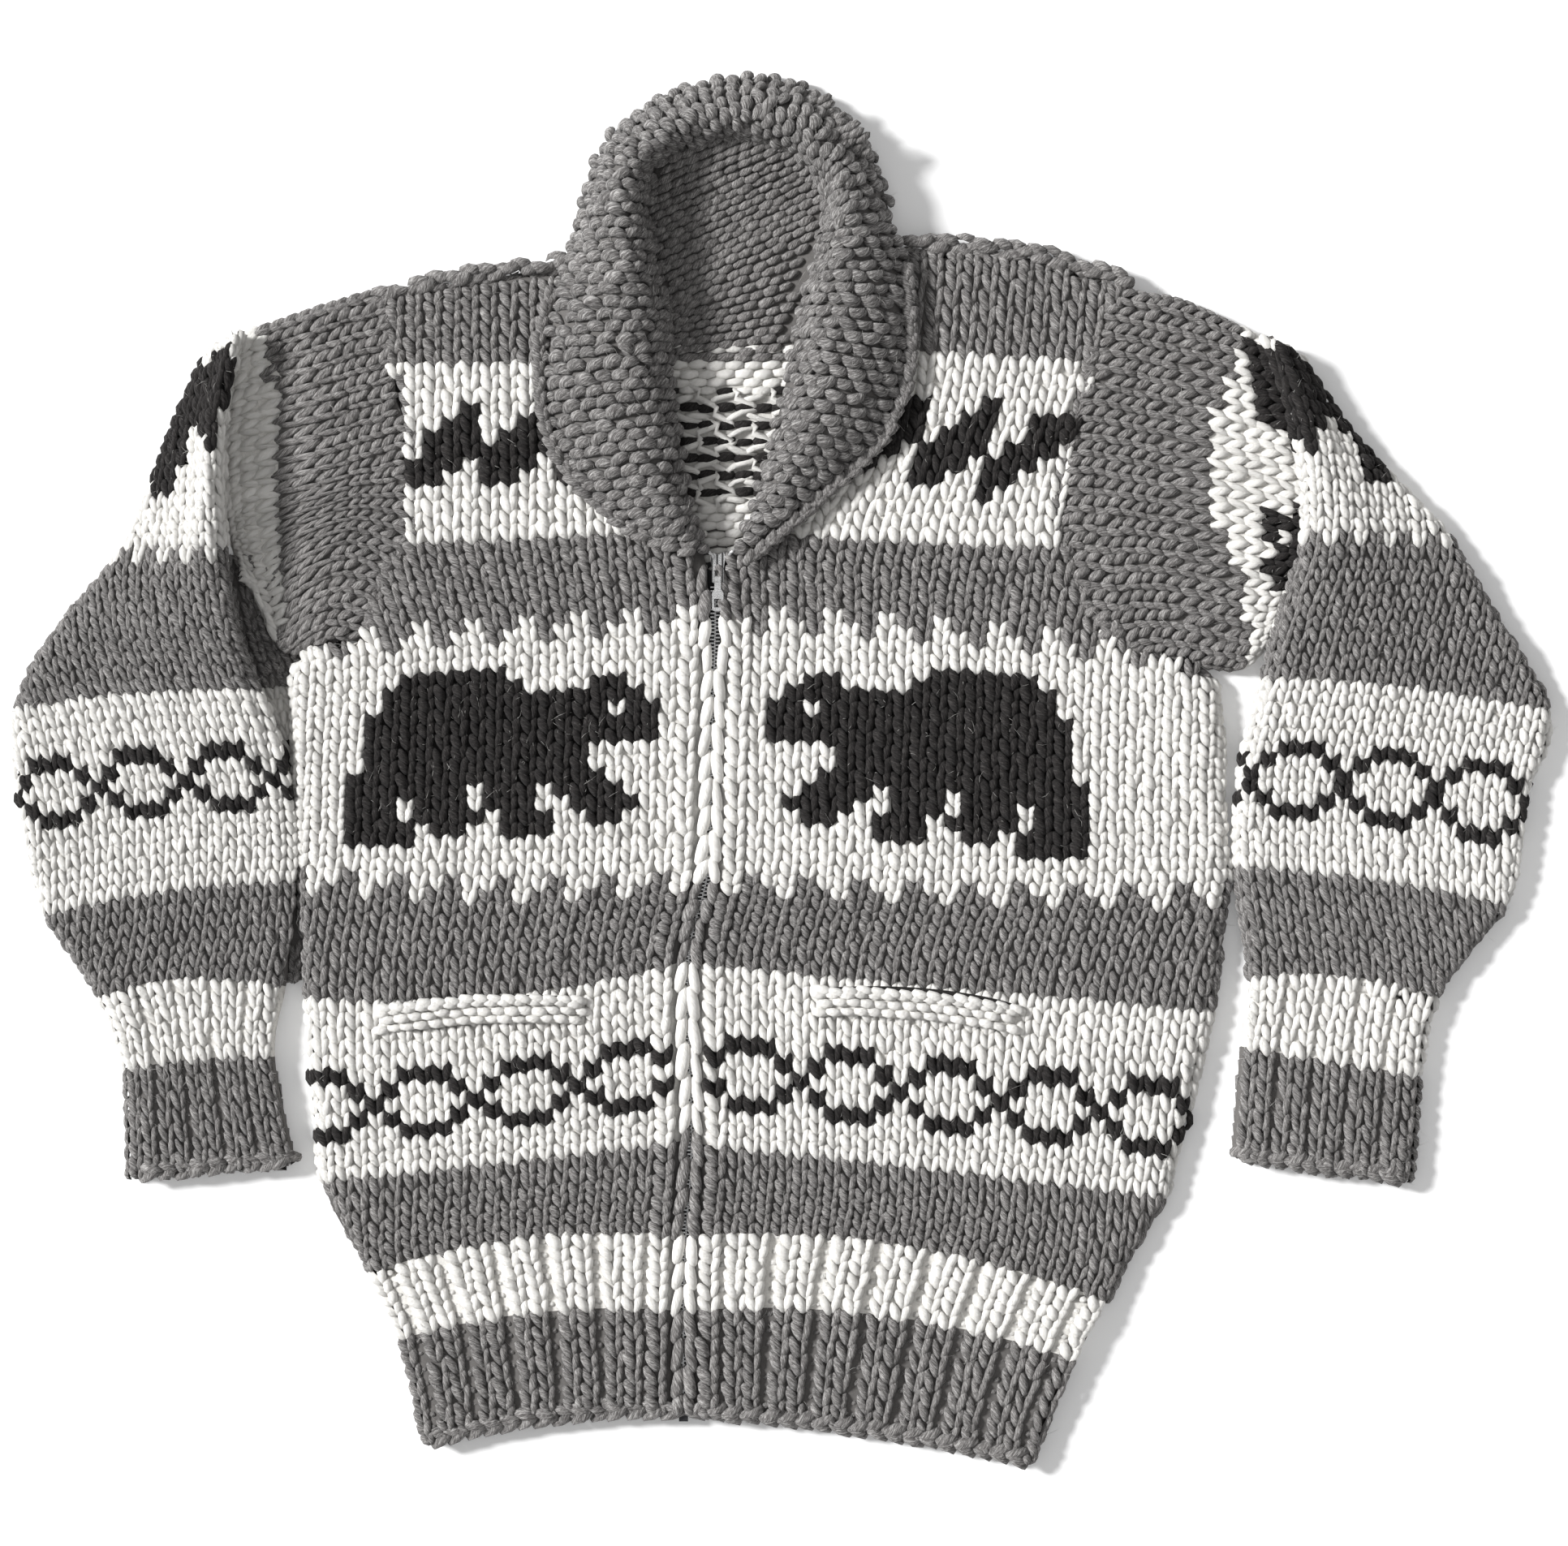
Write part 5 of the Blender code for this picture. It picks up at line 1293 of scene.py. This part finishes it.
def fuzzOn(name, sources):
    # bent three-sided spikes that start in the yarn, so they stay closed and small
    spots, ups = [], []
    for source in sources:
        place, normal = (np.empty(len(source.data.vertices) * 3, np.float32) for turn in range(2))
        source.data.vertices.foreach_get("co", place)
        source.data.vertex_normals.foreach_get("vector", normal)
        spots.append(place.reshape(-1, 3) / mm)
        ups.append(normal.reshape(-1, 3))
    spots, ups = np.concatenate(spots).astype(float), np.concatenate(ups).astype(float)
    top = ups[:, 2] > 0.05
    spots, ups = spots[top], ups[top]
    number = min(int(len(spots) * fuzzLook["each"]), fuzzLook["most"])
    chosen = dice.choice(len(spots), number, replace=False)
    root, up = spots[chosen] - ups[chosen] * 0.4, ups[chosen]
    along = dice.normal(size=(number, 3))
    along -= (along * up).sum(1, keepdims=True) * up
    along /= np.linalg.norm(along, axis=1, keepdims=True)
    bend = dice.normal(size=(number, 3)) * 0.35
    long = fuzzLook["long"] * (0.45 + dice.random((number, 1)) ** 2 * 1.3)
    middle = root + (along + up * fuzzLook["stand"] + bend * 0.3) * long * 0.5
    tip = middle + (along - up * 0.1 + bend) * long * 0.5
    turns = (np.arange(3) * 2 * math.pi / 3)[None, :, None]
    ring = np.cross(along, up)[:, None] * np.cos(turns) + up[:, None] * np.sin(turns)
    ring = ring * fuzzLook["thick"]
    points = np.concatenate([root[:, None] + ring, middle[:, None] + ring * 0.8, tip[:, None]], 1)
    points[..., 2] = np.clip(points[..., 2], fuzzLook["low"], fuzzLook["high"])
    each = points.shape[1]
    first = np.arange(number)[:, None, None] * each
    piece = solid(name, points.reshape(-1, 3), (first + spikeQuads).reshape(-1, 4),
                  (first + spikeTriangles).reshape(-1, 3), np.tile(spikeUv, (number, 1)),
                  np.repeat(dice.random(number), each), np.repeat(np.arange(number), each), number)
    dress(piece, wools[white])
    return number


def piecesFrom(*starts):
    return [piece for piece in bpy.data.objects if piece.name.startswith(starts)]


fuzzed = 0
for start in ("frontLeft", "frontRight", "sleeveLowerLeft", "sleeveLowerRight", "sleeveUpperLeft",
              "sleeveUpperRight", "collar"):
    fuzzed += fuzzOn(f"{start}StitchesFuzz", piecesFrom(f"{start}Stitches"))
print("loose fibres", fuzzed)


# the cut of each piece of cloth

# flat width, length and area in metres; the sleeves are all round their tubes, and {} is a side's name
cutSizes = {
    "front{}": {"Left": (0.262, 0.735, 0.155), "Right": (0.335, 0.750, 0.198), "held": "laid",
                "on": ["backBase"], "with": ["front{}Stitches", "zipEdge{}", "hem{}", "pocketMouth{}"]},
    "backBase": {"": (0.600, 0.760, 0.370), "held": "laid", "on": [],
                 "with": ["backStitches", "backNeckStitches"]},
    "sleeveLower{}": {"Left": (0.360, 0.530, 0.118), "Right": (0.390, 0.530, 0.131), "held": "laid", "on": [],
                      "with": ["sleeveLower{}Stitches", "cuff{}"]},
    "sleeveUpper{}": {"Left": (0.440, 0.115, 0.043), "Right": (0.470, 0.150, 0.058), "held": "folded",
                      "on": [], "with": ["sleeveUpper{}Stitches", "armhole{}"]},
    "collarRoll": {"": (0.700, 0.110, 0.054), "held": "folded", "on": ["frontLeft", "frontRight", "backBase"],
                   "with": ["collarStitches", "collarEdge"]},
    "collarStand": {"": (0.134, 0.150, 0.0182), "held": "folded", "on": ["backBase"],
                    "with": ["collarStandStitches"]},
    "pocketWelt{}": {"Left": (0.130, 0.018, None), "Right": (0.130, 0.018, None), "held": "laid",
                     "on": ["front{}"], "with": ["pocketWelt{}Stitches"]}}
for name, cut in cutSizes.items():
    for title in ("", "Left", "Right"):
        if title not in cut:
            continue
        wide, long, area = cut[title]
print("sheets declared:", sum(title in cut for cut in cutSizes.values() for title in ("", "Left", "Right")))


# floor, light and camera

bpy.ops.mesh.primitive_plane_add(size=14, location=(0, 0, -0.0004))
floor = bpy.context.object
floor.name = "floor"
paleFloor, _, _ = newMaterial("paleFloor", {"Base Color": (0.93, 0.93, 0.93, 1), "Roughness": 0.9,
                                            "Emission Color": (1, 1, 1, 1), "Emission Strength": 0.12})
floor.data.materials.append(paleFloor)

world = bpy.data.worlds.new("studio")
bpy.context.scene.world = world
world.use_nodes = True
world.node_tree.nodes["Background"].inputs["Color"].default_value = (1, 1, 1, 1)
world.node_tree.nodes["Background"].inputs["Strength"].default_value = 0.44

sun = bpy.data.objects.new("keyLight", bpy.data.lights.new("keyLight", "SUN"))
sun.data.energy = 5.0
sun.data.angle = 0.2
sun.rotation_mode = "QUATERNION"
sun.rotation_quaternion = Vector((0.94, -0.3, -0.68)).to_track_quat("-Z", "Y")
bpy.context.scene.collection.objects.link(sun)

camera = bpy.data.objects.new("camera", bpy.data.cameras.new("camera"))
camera.data.lens = 120
camera.data.sensor_width = 36
camera.data.clip_end = 20
camera.location = (0.001, -0.00225, 0.014 + 0.966 * 120 / 36)  # the whole garment fills the picture
bpy.context.scene.collection.objects.link(camera)
bpy.context.scene.camera = camera
bpy.context.scene.view_settings.view_transform = "Standard"
